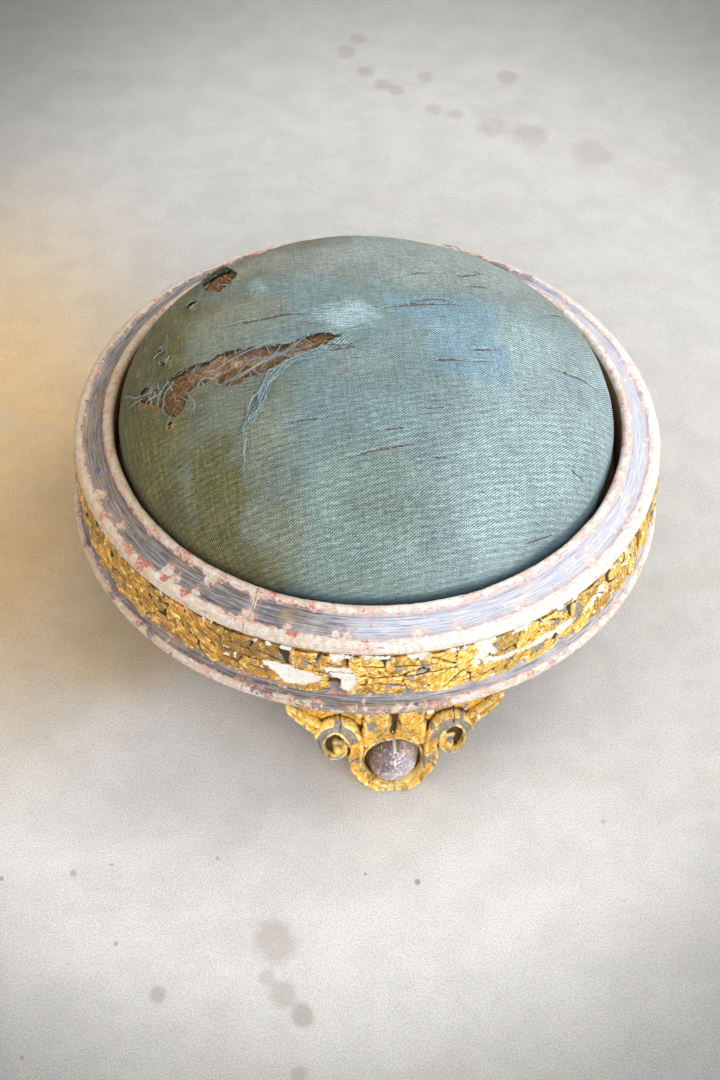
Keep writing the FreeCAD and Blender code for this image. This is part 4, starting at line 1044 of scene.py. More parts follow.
def gilding(name, settings, extra=None):
    """Old gold with a painted highlight on the high places, painted shade and dirt in the hollows, and
    painted shade towards the ring's left; chipped to chalk.
    """
    made = Finish(name)
    patchy = made.noise(7.0, 4.0, 0.6)
    streaky = made.noise(1.7, 5.0, 0.7)
    # Painted highlight: bright gold on proud places, and where the leaf is rubbed
    rubbed = made.field("proud") * 0.45 + (streaky - 0.5)
    colour = made.mix(settings.gold, settings.bright_gold, made.ease(rubbed, -0.03, 0.22))
    dull = made.mix((0.60, 0.25, 0.028), (0.31, 0.15, 0.028), made.ease(patchy, 0.4, 0.6))
    # Dull brown tarnish, laid on more towards the left as painted shade
    dullness = made.noise(4.0, 5.0, 0.65, bend=0.7) + made.field("side_shade") * 0.13
    colour = made.mix(colour, dull, made.ease(dullness, 0.50, 0.63, 0.0, 0.86))
    colour = made.shade(colour, made.ease(made.field("tone"), 0.0, 1.0, 0.62, 1.28))
    grey = made.crisp("slate", 2.0, 0.7, 0.45, 0.58)
    grey_tone = made.mix(settings.slate, (0.36, 0.375, 0.39), made.ease(streaky, 0.42, 0.65))
    colour = made.mix(colour, grey_tone, grey * 0.82)
    # Painted shade and dirt: the gold turns umber in the hollows
    dirt = made.field("hollow") + (streaky - 0.5) * 1.1
    colour = made.mix(colour, settings.umber, made.ease(dirt, 0.22, 0.62, 0.0, 0.95))
    specks = made.ease(made.noise(1.1, 3.0, 0.65), 0.61, 0.69)
    colour = made.mix(colour, settings.umber, specks * 0.7)
    gesso = made.crisp("gesso", 1.6, 0.55, 0.46, 0.54)
    cream = made.ease(made.noise(3.5, 5.0, 0.65), 0.52, 0.70)
    chalk = made.mix((0.90, 0.87, 0.81), (0.80, 0.62, 0.42), cream)
    soot = made.ease(made.noise(1.3, 4.0, 0.65), 0.60, 0.70, 0.0, 0.6)
    chalk = made.mix(chalk, (0.30, 0.20, 0.12), soot)
    colour = made.mix(colour, chalk, gesso)
    wobble = (made.noise(2.5, 3.0) - 0.5) * 0.8
    crack = made.ease(made.field("split") + wobble, 0.40, 0.14)
    colour = made.mix(colour, (0.035, 0.02, 0.012), crack * 0.92)
    # Painted light and shade: the gold is a little lighter on the lit right and darker on the left
    colour = made.shade(colour, made.ease(made.field("side_shade"), 0.0, 1.0, 1.06, 0.98))
    relief = streaky + made.noise(0.8, 3.0) * 0.4
    relief = relief - gesso * 0.5
    relief = relief - (crack + specks * 0.5)
    rough = made.ease(gesso + made.field("hollow"), 0.0, 0.8, 0.42, 0.86)
    metal = (1.0 - made.ease(gesso + dirt, 0.1, 0.5)) * 0.15
    if extra:
        colour, rough, metal = extra(made, colour, rough, metal)
    return made.finish(colour, rough, made.bump(relief, 0.38), Metallic=metal)


def frieze_ground(level, clearance):
    """Radius of the frieze's ground at a level, with the glue line's clearance."""
    below, above = np.maximum(JOINT - level, 0.0), np.maximum(level - JOINT, 0.0)
    return FRIEZE + 0.05 + below * 0.055 - above * 0.09 + clearance


def make_garland(settings):
    """The leaf garland in four sections, each carved from one block."""
    gold = gilding("old_leaf_gilding", settings)
    for index in range(4):
        degrees, level, height, fields = garland_surface(index, settings)
        front = on_circle(degrees, frieze_ground(level, 0.2) + height, level)
        back_level = np.linspace(HIGH_EDGE, LOW_EDGE, BACK_COLUMNS)
        back_level = np.broadcast_to(back_level, (GARLAND_ROWS, BACK_COLUMNS))
        back_degrees = np.broadcast_to(degrees[:, :1], back_level.shape)
        back = on_circle(back_degrees, frieze_ground(back_level, 0.1), back_level)
        points = np.concatenate([front[:, ::-1], back[:, ::-1]], axis=1)
        wide = GARLAND_COLUMNS + BACK_COLUMNS
        flat = {
            title: np.concatenate([values[:, ::-1], 0.0 * back_level], axis=1)
            for title, values in fields.items()
        }
        caps = [np.arange(wide)[::-1], np.arange(wide) + (GARLAND_ROWS - 1) * wide]
        quads = grid_quads(GARLAND_ROWS, wide, True)
        piece = build_piece(
            f"carved_leaves_{index + 1}", points.reshape(-1, 3), quads, caps, flat
        )
        settle(piece, "frame", "leaf_gilding", gold, f"leaf_garland_{index + 1}")


# The carved feet: across and height over a face that leans back

FACE_LEAN = math.tan(math.radians(8.0))
FACE_TOP = 181.0
TOE = FACE_TOP + BOTTOM * FACE_LEAN
BOSS_CENTRE, BOSS_RADIUS, RECESS_RADIUS = (0.0, 22.2), 15.4, 18.0
SCROLL = (
    (0.0, 3.2), (-9.5, 4.8), (-17.6, 10.6), (-22.6, 19.0), (-24.2, 29.0), (-24.0, 40.0),
    (-25.6, 50.0), (-30.5, 58.0), (-37.5, 60.5), (-43.8, 56.0), (-46.2, 48.0), (-45.2, 39.5),
    (-41.0, 33.5), (-35.5, 31.5), (-31.0, 34.0), (-30.0, 38.5), (-32.5, 42.5), (-36.5, 43.0),
)
SCROLL_HALF_WIDTHS = (
    (0.0, 3.2), (0.1, 3.6), (0.22, 4.2), (0.36, 5.4), (0.5, 5.6), (0.63, 4.4), (0.76, 3.2),
    (0.88, 2.3), (1.0, 1.8),
)
EAR = ((-43.0, 55.0), (-50.0, 60.5), (-57.5, 68.5), (-65.0, 77.0))
EYE = (-34.8, 36.6)
CRACKS = (
    ((1.2, 11.5), (0.4, 5.0), (1.6, -1.0)), ((0.6, 60.0), (0.2, 52.0), (1.0, 45.0)),
    ((-33.0, 68.0), (-33.4, 56.0)), ((-25.5, 47.0), (-28.6, 37.0)), ((-21.8, 30.0), (-27.4, 25.0)),
    ((36.0, 71.0), (36.4, 58.0)), ((-12.0, 10.5), (-16.6, 4.6)), ((22.0, 22.0), (27.0, 19.0)),
    ((14.5, 60.0), (19.5, 63.0)),
)
BOSS_SEAM = ((1.0, 40.0), (0.2, 32.0), (1.2, 23.0), (0.4, 10.0))
FOOT_EDGE = (
    (13.0, 0.0), (19.5, 4.2), (24.4, 10.5), (27.4, 18.0), (28.4, 26.0), (28.6, 30.0),
    (31.0, 28.9), (35.0, 28.4), (39.5, 29.6), (43.5, 33.0), (45.8, 38.0), (46.2, 43.0),
    (46.6, 47.0), (50.2, 53.0), (56.0, 60.0), (61.5, 66.4), (65.9, 70.2), (65.9, 80.0),
)
CORE_EDGE = ((24.0, 18.2), (24.0, 79.6), (-24.0, 79.6), (-24.0, 18.2))
SLAB_DEPTH, CORE_TOP, CORE_DEPTH = 20.0, 12.0, 31.0
# Fixed fields on the foot's back and sides, with a small even share of the painted hollow shade
BARE_BACK = {"tone": 0.5, "split": 5.0, "hollow": 0.1, "raw": 1.0}


def cut_outline(axes, outline):
    """A grid cut to a closed outline."""
    return cut_sheet(axes, lambda spots: inside_outline(spots, outline), 0.5, 1.5)


def dome_of(reach, radius):
    """Height share of a half ball at a distance from its middle."""
    return np.sqrt(np.clip(1.0 - (reach / radius) ** 2, 0.0, 1.0))


def carve_foot(across, height, seed):
    """Height over the leaning face, and the paint, of the foot's front."""
    spots = np.stack([across, height], axis=-1)
    mirrored = np.stack([-np.abs(across), height], axis=-1)
    place = np.stack([across, height, np.full(across.shape, 50.0 * seed)], axis=-1)
    distance, along = to_line(mirrored, smooth_line(SCROLL, 1.5))
    distance = distance + 0.35 * grain(place, 6.0, 81)
    half = np.interp(along, *np.transpose(SCROLL_HALF_WIDTHS))
    side = distance / half
    rims = ridge(side, 0.74, 0.25) - 0.55 * (1.0 - ease(side, 0.34, 0.60))
    strap = 2.6 * np.sqrt(np.clip(1.0 - (side * 0.93) ** 4, 0.0, 1.0))
    strap = strap + 1.7 * rims * ease(half, 1.8, 3.0)
    scroll = strap + 2.4 * ease(along, 0.05, 0.45) - 2.8 * ease(along, 0.70, 1.0)
    on_scroll = ease(1.16 - side, 0.0, 0.26)
    well = ease(13.6 - np.hypot(mirrored[..., 0] + 36.0, mirrored[..., 1] - 43.5), 0.0, 2.0)
    front = (-2.4 + 0.5 * grain(place, 8.0, 82)) * (1.0 - well) - 6.5 * well
    ear_gap, ear_along = to_line(mirrored, smooth_line(EAR, 1.5))
    ear_side = ear_gap / np.interp(ear_along, [0.0, 0.5, 1.0], [5.2, 4.6, 2.6])
    ear = 4.2 * dome_of(ear_side, 1.0) - 1.6 * ridge(ear_side, 0.0, 0.24)
    ear = ear + 0.9 * ridge(ear_side, 0.62, 0.2)
    under_base = ease(height, 62.0, 70.0) * ease(np.abs(across), 34.0, 44.0)
    front = front * (1.0 - under_base) - 8.0 * under_base
    front = front + (ear - front) * ease(1.08 - ear_side, 0.0, 0.2)
    leaf_centre = 10.6 + 6.0 * ease(62.0 - height, 0.0, 24.0)
    leaf_half = 9.0 * np.sqrt(np.clip(1.0 - ((height - 63.0) / 24.0) ** 2, 0.02, 1.0))
    leaf_half = leaf_half * (1.0 + 0.05 * np.sin(height * 0.9 + 2.0 * np.sign(across)))
    leaf_side = (np.abs(across) - leaf_centre) / leaf_half
    leaf = 6.2 * np.clip(1.0 - leaf_side ** 2, 0.0, 1.0) ** 0.40 + 0.5 * ridge(leaf_side, 0.66, 0.2)
    leaf = leaf - 0.9 * ridge(leaf_side + 0.22 * np.sin(height * 0.16), 0.12, 0.20)
    leaf = leaf - 3.2 * ease(height, 70.0, 80.0)
    on_leaf = ease(1.0 - np.abs(leaf_side), 0.0, 0.14) * ease(height, 39.0, 43.0)
    front = front + (leaf - front) * on_leaf
    slot = ridge(across + 0.4 * np.sin(height * 0.3), 0.0, 2.2) * ease(height, 43.0, 49.0)
    front = front - 9.0 * slot
    front = front + (scroll - front) * on_scroll
    bud = np.hypot(np.abs(across) - 21.6, height - 66.5)
    front = np.maximum(front, 3.4 * dome_of(bud, 3.4) - 0.4)
    eye = np.hypot(mirrored[..., 0] - EYE[0], mirrored[..., 1] - EYE[1])
    front = np.where(eye < 2.8, np.maximum(front, 0.5 + 3.4 * dome_of(eye, 2.9)), front)
    reach = np.hypot(across - BOSS_CENTRE[0], height - BOSS_CENTRE[1])
    turn = np.arctan2(height - BOSS_CENTRE[1], across)
    in_recess = ease(RECESS_RADIUS + 0.5 - reach, 0.0, 1.6)
    front = front * (1.0 - in_recess) - 4.3 * in_recess
    petals = np.sin(turn * 9.0 + 4.0 * grain(place, 9.0, 83))
    lip = ridge(reach, RECESS_RADIUS + 1.2, 1.0) * (0.75 + 0.35 * petals)
    front = front + 1.0 * lip
    front = front + 0.3 * grain(place, 16.0, 84) + 0.30 * grain(place, 4.5, 85)
    boss = BOSS_RADIUS * dome_of(reach, BOSS_RADIUS) - 3.0 + (height - BOSS_CENTRE[1]) * FACE_LEAN
    boss = boss + 0.14 * grain(place, 4.0, 86)
    front = np.where(reach < BOSS_RADIUS, np.maximum(front, boss), front)
    on_boss = ease(BOSS_RADIUS + 0.9 - reach, 0.0, 0.6)
    crack = np.full(across.shape, 9.0)
    for line in CRACKS:
        crack = np.minimum(crack, to_line(spots, line)[0])
    seam, _ = to_line(spots, smooth_line(BOSS_SEAM, 2.0))
    front = front - 0.7 * ridge(crack, 0.0, 0.5) * (1.0 - on_boss)
    front = front - 0.25 * ridge(seam, 0.0, 0.5) * on_boss
    grey = ease(along, 0.36, 0.46) * (1.0 - ease(along, 0.86, 0.92))
    grey = grey * on_scroll * (1.0 - ease(side, 0.44, 0.62))
    grey = grey * ease(grain(place, 9.0, 87), -0.9, -0.5)
    grey = np.maximum(grey, 0.9 * ease(grain(place, 7.0, 88), 0.42, 0.62))
    round_boss = ease(reach, BOSS_RADIUS + 3.4, BOSS_RADIUS + 4.4)
    round_boss = round_boss * ridge(reach, RECESS_RADIUS + 0.6, 1.9)
    grey = np.maximum(grey, round_boss * ease(grain(place, 9.0, 89), -0.5, 0.1))
    chalk = 0.85 * ease(grain(place, 4.0, 90), 0.66, 0.88)
    chalk = np.maximum(chalk, 0.75 * lip * ease(grain(place, 5.0, 91), 0.1, 0.5))
    chalk = np.maximum(chalk, 0.9 * ease(3.0 - bud, 0.0, 1.0) * (across > 0))
    beside_seam = ease(1.5 - seam, 0.0, 0.9) * ease(grain(place, 3.4, 92) + 0.3, 0.0, 0.4)
    chalk = np.maximum(chalk * (1.0 - on_boss), 0.9 * beside_seam * on_boss)
    round_eye = 0.85 * well * (1.0 - on_scroll) * (eye > 3.2)
    return front, {
        "slate": grey * (1.0 - on_boss), "gesso": chalk, "split": crack + 5.0 * on_boss,
        # Painted shade in the slot and the volute's eye well
        "boss": on_boss, "low": ease(-height, -26.0, -12.0), "hollow": np.maximum(slot, round_eye),
        # Share of painted shade on the upper left of the boss
        "upper_left_shade": ease(height - across + 3.0 * grain(place, 7.0, 94), 18.0, 40.0),
        # A small even share of the painted side shade on the feet
        "side_shade": np.full(across.shape, 0.1), "tone": 0.5 + 0.5 * grain(place, 11.0, 93),
    }


def slab_piece(flat, quads, rim, front, back, place_point, layers=6):
    """Closed points and quads from a front and a back height over one flat grid."""
    count = len(flat)
    points = [place_point(flat, front), place_point(flat, back)]
    quads_all = [quads, quads[:, ::-1] + count]
    on_rim = np.unique(rim)
    order = np.full(count, -1)
    order[on_rim] = np.arange(len(on_rim))
    base = 2 * count
    levels = [on_rim]
    for layer in range(1, layers):
        share = layer / layers
        height = front[on_rim] * (1 - share) + back[on_rim] * share
        points.append(place_point(flat[on_rim], height))
        levels.append(np.arange(len(on_rim)) + base)
        base += len(on_rim)
    levels.append(on_rim + count)
    start, end = order[rim[:, 0]], order[rim[:, 1]]
    for upper, lower in zip(levels, levels[1:]):
        quads_all.append(np.stack([upper[end], upper[start], lower[start], lower[end]], axis=-1))
    return np.vstack(points), np.vstack(quads_all), on_rim, layers - 1


def foot_points(turn):
    """Places the flat carving on a foot that is turned round the stool's axis."""
    def place(flat, out):
        radius = TOE - flat[:, 1] * FACE_LEAN + out
        cosine, sine = math.cos(math.radians(turn)), math.sin(math.radians(turn))
        x, y = flat[:, 0], -radius
        return np.stack([x * cosine - y * sine, x * sine + y * cosine, flat[:, 1]], axis=-1)
    return place


def silvered(settings):
    """Adds the boss's rubbed silver leaf over the gold."""
    def add(made, colour, rough, metal):
        boss = made.field("boss")
        patchy = made.noise(5.0, 4.0, 0.6)
        fine = made.noise(1.6, 4.0, 0.65)
        silver = made.mix(settings.silver, (0.92, 0.86, 0.93), made.ease(patchy, 0.46, 0.62))
        # Dark tarnish on the silver, laid on more thickly on the upper left as painted shade
        dark = fine + made.field("upper_left_shade") * 0.19
        silver = made.mix(silver, (0.15, 0.10, 0.085), made.ease(dark, 0.54, 0.68, 0.0, 0.85))
        red = made.noise(3.0, 3.0, bend=0.8) + made.field("low") * 0.09
        silver = made.mix(silver, (0.72, 0.20, 0.14), made.ease(red, 0.62, 0.70, 0.0, 0.85))
        silver = made.mix(silver, (0.88, 0.84, 0.80), made.crisp("gesso", 1.0, 0.5, 0.5, 0.6))
        soft = made.ease(fine, 0.4, 0.65, 0.26, 0.55)
        shine = boss * made.ease(fine, 0.45, 0.66, 0.55, 0.15)
        rough = rough * (1.0 - boss) + soft * boss
        metal = metal * (1.0 - boss) + shine
        raw = made.field("raw")
        figure = made.noise(1.0, 5.0, 0.6, made.stretched((260.0, 260.0, 40.0)), 0.7)
        wood = made.mix((0.16, 0.085, 0.035), (0.36, 0.21, 0.095), made.ease(figure, 0.35, 0.65))
        colour = made.mix(made.mix(colour, silver, boss), wood, raw)
        return colour, rough, metal * (1.0 - raw)
    return add


def make_feet(settings, gold_settings):
    """Three feet: a carved face on a slab, with a core behind it."""
    paint = gilding("foot_gilding_and_silver", gold_settings, silvered(settings))
    right = np.array(FOOT_EDGE)
    outline = np.vstack([right, (right * [-1, 1])[::-1]])
    step = in_mm(settings.mesh_step)
    flat, quads, rim = cut_outline(even_axes((-66.5, 0.0), (66.5, BOTTOM), step), outline)
    edge_gap = -inside_outline(flat, outline)
    core = cut_outline(even_axes((-24.5, 17.0), (24.5, BOTTOM), 2.0), CORE_EDGE)
    for index in range(3):
        front, fields = carve_foot(flat[:, 0], flat[:, 1], index + 1)
        rounding = 1.0 - np.sqrt(np.clip(1.0 - (1.0 - np.clip(edge_gap / 3.0, 0, 1)) ** 2, 0, 1))
        at_top = ease(flat[:, 1], 74.0, 79.0)
        front = front - 3.0 * rounding * (1.0 - at_top)
        toe = 3.2 * ease(14.0 - flat[:, 1], 0.0, 14.0)
        front = front + toe * ease(30.0 - np.abs(flat[:, 0]), 0, 10)
        hand = np.stack([flat[:, 0], flat[:, 1], np.full(len(flat), 9.0 * index)], axis=-1)
        back = 0.35 * grain(hand, 9.0, 91) - SLAB_DEPTH
        place = foot_points(index * 120.0)
        points, faces, on_rim, layers = slab_piece(flat, quads, rim, front, back, place)
        # Painted shade in the foot's hollows
        hollow = depth_shade(flat, front, step)
        fields["hollow"] = np.maximum(hollow[0], fields["hollow"])
        # The painted highlight on the foot's proud places
        fields["proud"] = hollow[1]
        fields["raw"] = np.zeros(len(flat))
        spread = {}
        for title, values in fields.items():
            bare = np.full(len(flat), BARE_BACK.get(title, 0.0))
            side = bare[on_rim] if title == "hollow" else values[on_rim]
            spread[title] = np.concatenate([values, bare, *[side] * layers])
        core_front, core_back = (np.full(len(core[0]), -depth) for depth in (CORE_TOP, CORE_DEPTH))
        block, block_faces, _, _ = slab_piece(*core, core_front, core_back, place, 8)
        for title, values in spread.items():
            spread[title] = np.append(values, np.full(len(block), BARE_BACK.get(title, 0.0)))
        piece = build_piece(
            f"scroll_foot_{index + 1}", np.vstack([points, block]),
            np.vstack([faces, block_faces + len(points)]), fields=spread,
        )
        settle(piece, "frame", "foot_gilding", paint, f"foot_{index + 1}")


def depth_shade(flat, height, step):
    """Hollow and proud shares of scattered grid points, from a blurred copy of their heights: the
    painted shade and the painted highlight of the gilding.
    """
    cell = np.round((flat - flat.min(axis=0)) / step).astype(int)
    size = cell.max(axis=0) + 1
    total, count = np.zeros(size), np.zeros(size)
    np.add.at(total, (cell[:, 0], cell[:, 1]), height)
    np.add.at(count, (cell[:, 0], cell[:, 1]), 1.0)
    wide = blur(total, 4) / np.maximum(blur(count, 4), 1e-3)
    wide = wide[cell[:, 0], cell[:, 1]]
    return np.clip((wide - height) / 3.4, 0, 1), np.clip((height - wide) / 1.6, 0, 1)


# The pad's dome: run along the cloth from its middle, radius and height

PAD_SHIFT = -1.0
CLOTH_EDGE = 236.0
PAD_RADIUS, SEAT, FULLEST = 160.0, 112.3, 139.3
CORNER_RADIUS, HEM_ROUND, TURNED_EDGE = 42.0, 3.7, 136.0
SHOULDER_CENTRE, SHOULDER_RADIUS = (77.69, 98.99), 99.0
CROWN_RADIUS, CROWN_CENTRE, CROWN_ANGLE, SHOULDER_START = 478.9, -272.87, 0.2059, 78.2


def dome_profile():
    """Run, radius, height and outward normal of the cloth, from its middle to its turned edge."""
    angles = np.linspace(0.0, CROWN_ANGLE, 60)
    crown = [
        (CROWN_RADIUS * math.sin(angle), CROWN_RADIUS * math.cos(angle) + CROWN_CENTRE)
        for angle in angles
    ]
    hem = PAD_RADIUS - HEM_ROUND - 0.8
    sides = (
        arc_run(SHOULDER_CENTRE, SHOULDER_RADIUS, SHOULDER_START, 45.0, 1.0)
        + arc_run((PAD_RADIUS - CORNER_RADIUS, FULLEST), CORNER_RADIUS, 45.0, 0.0, 0.7)
        + line_run((PAD_RADIUS, FULLEST), (PAD_RADIUS - 0.8, SEAT + HEM_ROUND), 1.5)
        + arc_run((hem, SEAT + HEM_ROUND), HEM_ROUND, 0.0, -90.0, 0.5)
        + line_run((hem, SEAT), (TURNED_EDGE, SEAT), 1.5)
    )
    spots = np.array(crown + sides[1:] + [(TURNED_EDGE, SEAT)])
    steps = np.hypot(*(spots[1:] - spots[:-1]).T)
    run = np.concatenate([[0.0], np.cumsum(steps)])
    ahead = np.gradient(spots, run, axis=0)
    ahead /= np.hypot(*ahead.T)[:, None]
    normal = np.stack([-ahead[:, 1], ahead[:, 0]], axis=-1)
    normal[0] = (0.0, 1.0)
    return run, spots, normal


DOME_RUN, DOME_SPOTS, DOME_NORMAL = dome_profile()


def on_dome(chart, lift):
    """Points over the dome, from places on the cloth's flat chart and a height over its face."""
    run = np.hypot(chart[..., 0], chart[..., 1])
    ahead = chart / np.maximum(run, 1e-6)[..., None]
    radius, height = (
        np.interp(run, DOME_RUN, DOME_SPOTS[:, side])
        + lift * np.interp(run, DOME_RUN, DOME_NORMAL[:, side])
        for side in (0, 1)
    )
    return np.stack([ahead[..., 0] * radius + PAD_SHIFT, ahead[..., 1] * radius, height], axis=-1)


def to_chart(places):
    """Places on the flat chart, from places seen from straight above."""
    places = np.asarray(places, float) - [PAD_SHIFT, 0.0]
    radius = np.hypot(places[..., 0], places[..., 1])
    widest = np.argmax(DOME_SPOTS[:, 0])
    run = np.interp(radius, DOME_SPOTS[:widest, 0], DOME_RUN[:widest])
    return places * (run / np.maximum(radius, 1e-6))[..., None]


def above(chart):
    """The same places on the chart as seen from straight above."""
    run = np.hypot(chart[..., 0], chart[..., 1])
    radius = np.interp(run, DOME_RUN, DOME_SPOTS[:, 0])
    return chart * (radius / np.maximum(run, 1e-6))[..., None] + [PAD_SHIFT, 0.0]


MAIN_TEAR = (
    (-124.9, -8.7), (-113.8, -5.5), (-100.6, -4.5), (-91.8, -0.7), (-78.7, -0.2), (-63.6, -1.4),
    (-51.8, -2.2), (-39.6, 2.1), (-29.7, 4.8), (-17.0, 0.7), (-21.5, -1.2), (-30.6, -7.2),
    (-39.5, -11.4), (-52.8, -17.6), (-64.8, -22.8), (-75.6, -26.3), (-87.5, -29.3), (-97.9, -23.6),
    (-109.8, -23.8), (-115.4, -31.1), (-116.7, -38.5), (-121.2, -41.4), (-126.5, -35.8),
    (-133.0, -22.3), (-130.6, -15.4),
)
SIDE_HOLE = ((-139.1, -2.0), (-143.2, -5.3), (-143.8, -12.2), (-139.2, -20.4), (-136.8, -12.3))
BACK_HOLE = (
    (-103.0, 84.0), (-97.0, 96.0), (-88.0, 101.0), (-82.0, 97.0), (-80.0, 86.0), (-84.0, 74.0),
    (-90.0, 67.0), (-97.0, 70.0), (-101.0, 76.0),
)
SMALL_HOLE = ((-114.2, 63.3), (-111.2, 67.0), (-107.1, 64.3), (-108.3, 58.5), (-112.4, 58.1))
LOW_HOLE = ((-128.0, -46.0), (-126.0, -42.0), (-123.6, -43.6), (-124.6, -47.2))
SPOT_HOLES = (
    ((-133.5, 24.5), (-130.6, 26.0), (-129.0, 21.6), (-131.6, 19.4)),
    ((-131.0, 12.0), (-127.6, 10.4), (-128.0, 5.6), (-130.8, 7.2)),
)
TEARS = (MAIN_TEAR, SIDE_HOLE, BACK_HOLE, SMALL_HOLE, LOW_HOLE) + SPOT_HOLES
SLITS = (
    (1.5, (-88.7, 25.8), (-67.7, 25.8), (-51.1, 27.4), (-36.9, 25.7)),
    (0.8, (-28.3, -6.0), (-19.0, -5.5), (-9.9, -4.5)),
    (1.0, (9.6, 27.9), (20.9, 30.0), (41.3, 31.6), (61.9, 33.0)),
    (0.8, (30.5, 35.0), (44.4, 37.7), (55.1, 37.1)),
    (1.2, (36.6, -22.3), (54.2, -21.4)),
    (0.6, (55.1, -22.8), (73.4, -21.1)),
    (1.0, (59.8, -12.5), (76.7, -10.6)),
    (1.0, (-21.1, -92.7), (-8.6, -90.2), (3.9, -88.0), (17.5, -86.4)),
    (0.8, (0.0, -76.0), (14.6, -74.8)),
    (0.6, (26.7, -60.6), (38.3, -60.4)),
    (0.9, (29.7, 66.3), (46.4, 69.9)),
    (1.0, (58.1, 70.3), (67.0, 67.6), (84.9, 75.2)),
    (0.8, (67.5, 55.3), (84.1, 57.0)),
    (0.8, (26.8, -95.9), (35.0, -95.9)),
    (0.9, (-59.9, -65.2), (-46.4, -64.8), (-31.9, -64.2)),
    (0.7, (-14.5, -17.7), (-8.1, -18.2)),
    (0.8, (-25.2, 1.0), (-15.6, 4.6)),
    (0.9, (110.2, -19.7), (121.6, -21.2), (134.0, -20.2), (145.1, -21.9)),
    (0.9, (120.3, 38.5), (128.0, 43.6), (135.7, 50.0)),
    (0.7, (110.6, -88.8), (116.3, -90.2), (122.4, -91.7)),
    (0.7, (113.6, -83.7), (124.3, -76.0), (131.8, -77.2)),
    (0.9, (78.9, -134.0), (89.1, -128.7), (99.7, -122.2)),
    (0.5, (-70.0, -81.0), (-52.0, -79.5), (-40.0, -79.8)),
    (0.8, (-31.0, -10.0), (-20.0, -8.5), (-9.0, -7.0)),
)
BLUE_AREA = (
    (10.9, 41.0), (63.9, 42.0), (81.2, 39.3), (88.5, -30.1), (80.0, -48.0), (35.0, -35.3),
    (34.6, 4.9), (12.0, 20.0),
)
BLUE_SLITS = ((-60.0, -66.0), (-30.0, -64.0), (10.0, -80.0), (30.0, -94.0))
BLUE_TEAR_EDGE = ((-90.0, 4.0), (-60.0, 6.0), (-35.0, 9.0), (-24.0, -8.0), (-45.0, -15.0))
BLUE_STREAK = ((116.2, -24.9), (124.8, -29.6), (128.3, -37.3))
TEAR_FOLD = ((-84.0, 8.5), (-62.0, 10.0), (-42.0, 15.0), (-24.0, 14.0))
FLUFF_LINE = ((-108.0, -12.0), (-94.0, -9.0), (-82.0, -6.0), (-64.0, -7.0), (-40.0, -2.0))
RUST_SPOTS = (
    (-132.0, 27.0, 2.6), (-129.0, 9.0, 3.0), (-141.0, -16.0, 4.2), (-125.5, -46.0, 2.6),
    (-111.0, 62.0, 2.6), (-122.0, 40.0, 1.6), (-133.0, -28.0, 3.0),
)
THREAD_PATHS = (
    (0.34, (-37.7, -15.6), (-50.7, -19.5), (-62.0, -29.2), (-68.8, -37.9), (-71.6, -51.1),
     (-77.1, -56.6), (-81.6, -63.4)),
    (0.34, (-41.7, -12.6), (-58.3, -21.1), (-67.6, -35.3), (-76.7, -48.7), (-81.0, -62.3)),
    (0.32, (-36.5, -10.5), (-50.0, -17.0), (-63.5, -27.5), (-66.5, -41.0), (-70.5, -53.0),
     (-80.2, -61.6)),
    (0.30, (-33.0, -13.0), (-47.5, -16.0), (-61.0, -24.5), (-68.2, -35.0), (-73.6, -50.0),
     (-81.6, -63.4), (-88.0, -66.7)),
    (0.32, (-30.0, -9.5), (-44.0, -17.5), (-57.0, -24.0), (-65.0, -36.0), (-69.6, -46.0),
     (-74.0, -55.6), (-82.0, -62.0)),
    (0.28, (-81.6, -63.4), (-80.0, -72.5), (-82.1, -83.4), (-81.5, -95.2)),
    (0.26, (-81.2, -62.0), (-81.6, -71.0), (-80.9, -82.0), (-83.0, -90.0)),
    (0.30, (-38.5, 2.0), (-53.3, -9.8), (-66.6, -16.4), (-77.5, -21.5), (-92.7, -26.5)),
    (0.30, (-44.7, 7.1), (-53.8, -0.2), (-61.0, -11.4), (-75.1, -14.5), (-86.3, -26.7), (-89.7, -33.1)),
    (0.28, (-43.9, -13.0), (-58.9, -13.4), (-70.1, -23.1), (-76.8, -29.0)),
    (0.28, (-34.0, -4.0), (-50.0, -10.0), (-64.0, -14.0), (-80.0, -24.0), (-86.0, -25.6)),
    (0.26, (-48.0, 3.0), (-58.0, 0.5), (-67.0, -2.0), (-81.0, -6.0), (-99.0, -16.0)),
    (0.26, (-97.8, -20.7), (-104.3, -20.1), (-107.7, -24.6)),
    (0.30, (-124.9, -11.7), (-129.5, -19.0), (-131.9, -25.8)),
    (0.28, (-129.5, -17.6), (-137.5, -19.0), (-140.9, -20.3)),
    (0.28, (-122.0, -12.0), (-127.0, -21.0), (-129.5, -31.0)),
    (0.26, (-135.0, -6.0), (-137.5, -14.0), (-136.0, -23.0)),
    (0.26, (-113.0, -28.0), (-109.0, -36.0), (-110.5, -42.0)),
    (0.24, (-155.4, 4.9), (-145.5, -9.0), (-134.0, -14.4), (-136.3, -19.8)),
    (0.22, (-150.0, -12.0), (-141.0, -13.5), (-133.0, -10.0)),
    (0.26, (-72.0, 52.0), (-69.0, 60.0), (-71.0, 66.0)),
    (0.30, (60.5, 122.0), (64.0, 128.0), (72.0, 131.0)),
    (0.28, (62.0, 124.0), (70.0, 125.0), (80.0, 127.0)),
)


def ragged(outline, seed, amount=0.9):
    """A torn outline on the chart, from corners seen from above."""
    closed = np.vstack([outline, outline[:1]])
    line = smooth_line(closed, 0.9)[:-1]
    place = at_level_zero(line)
    wander = np.stack([grain(place, 2.6, seed), grain(place, 2.6, seed + 1)], axis=-1)
    return to_chart(line + wander * amount * 0.75)


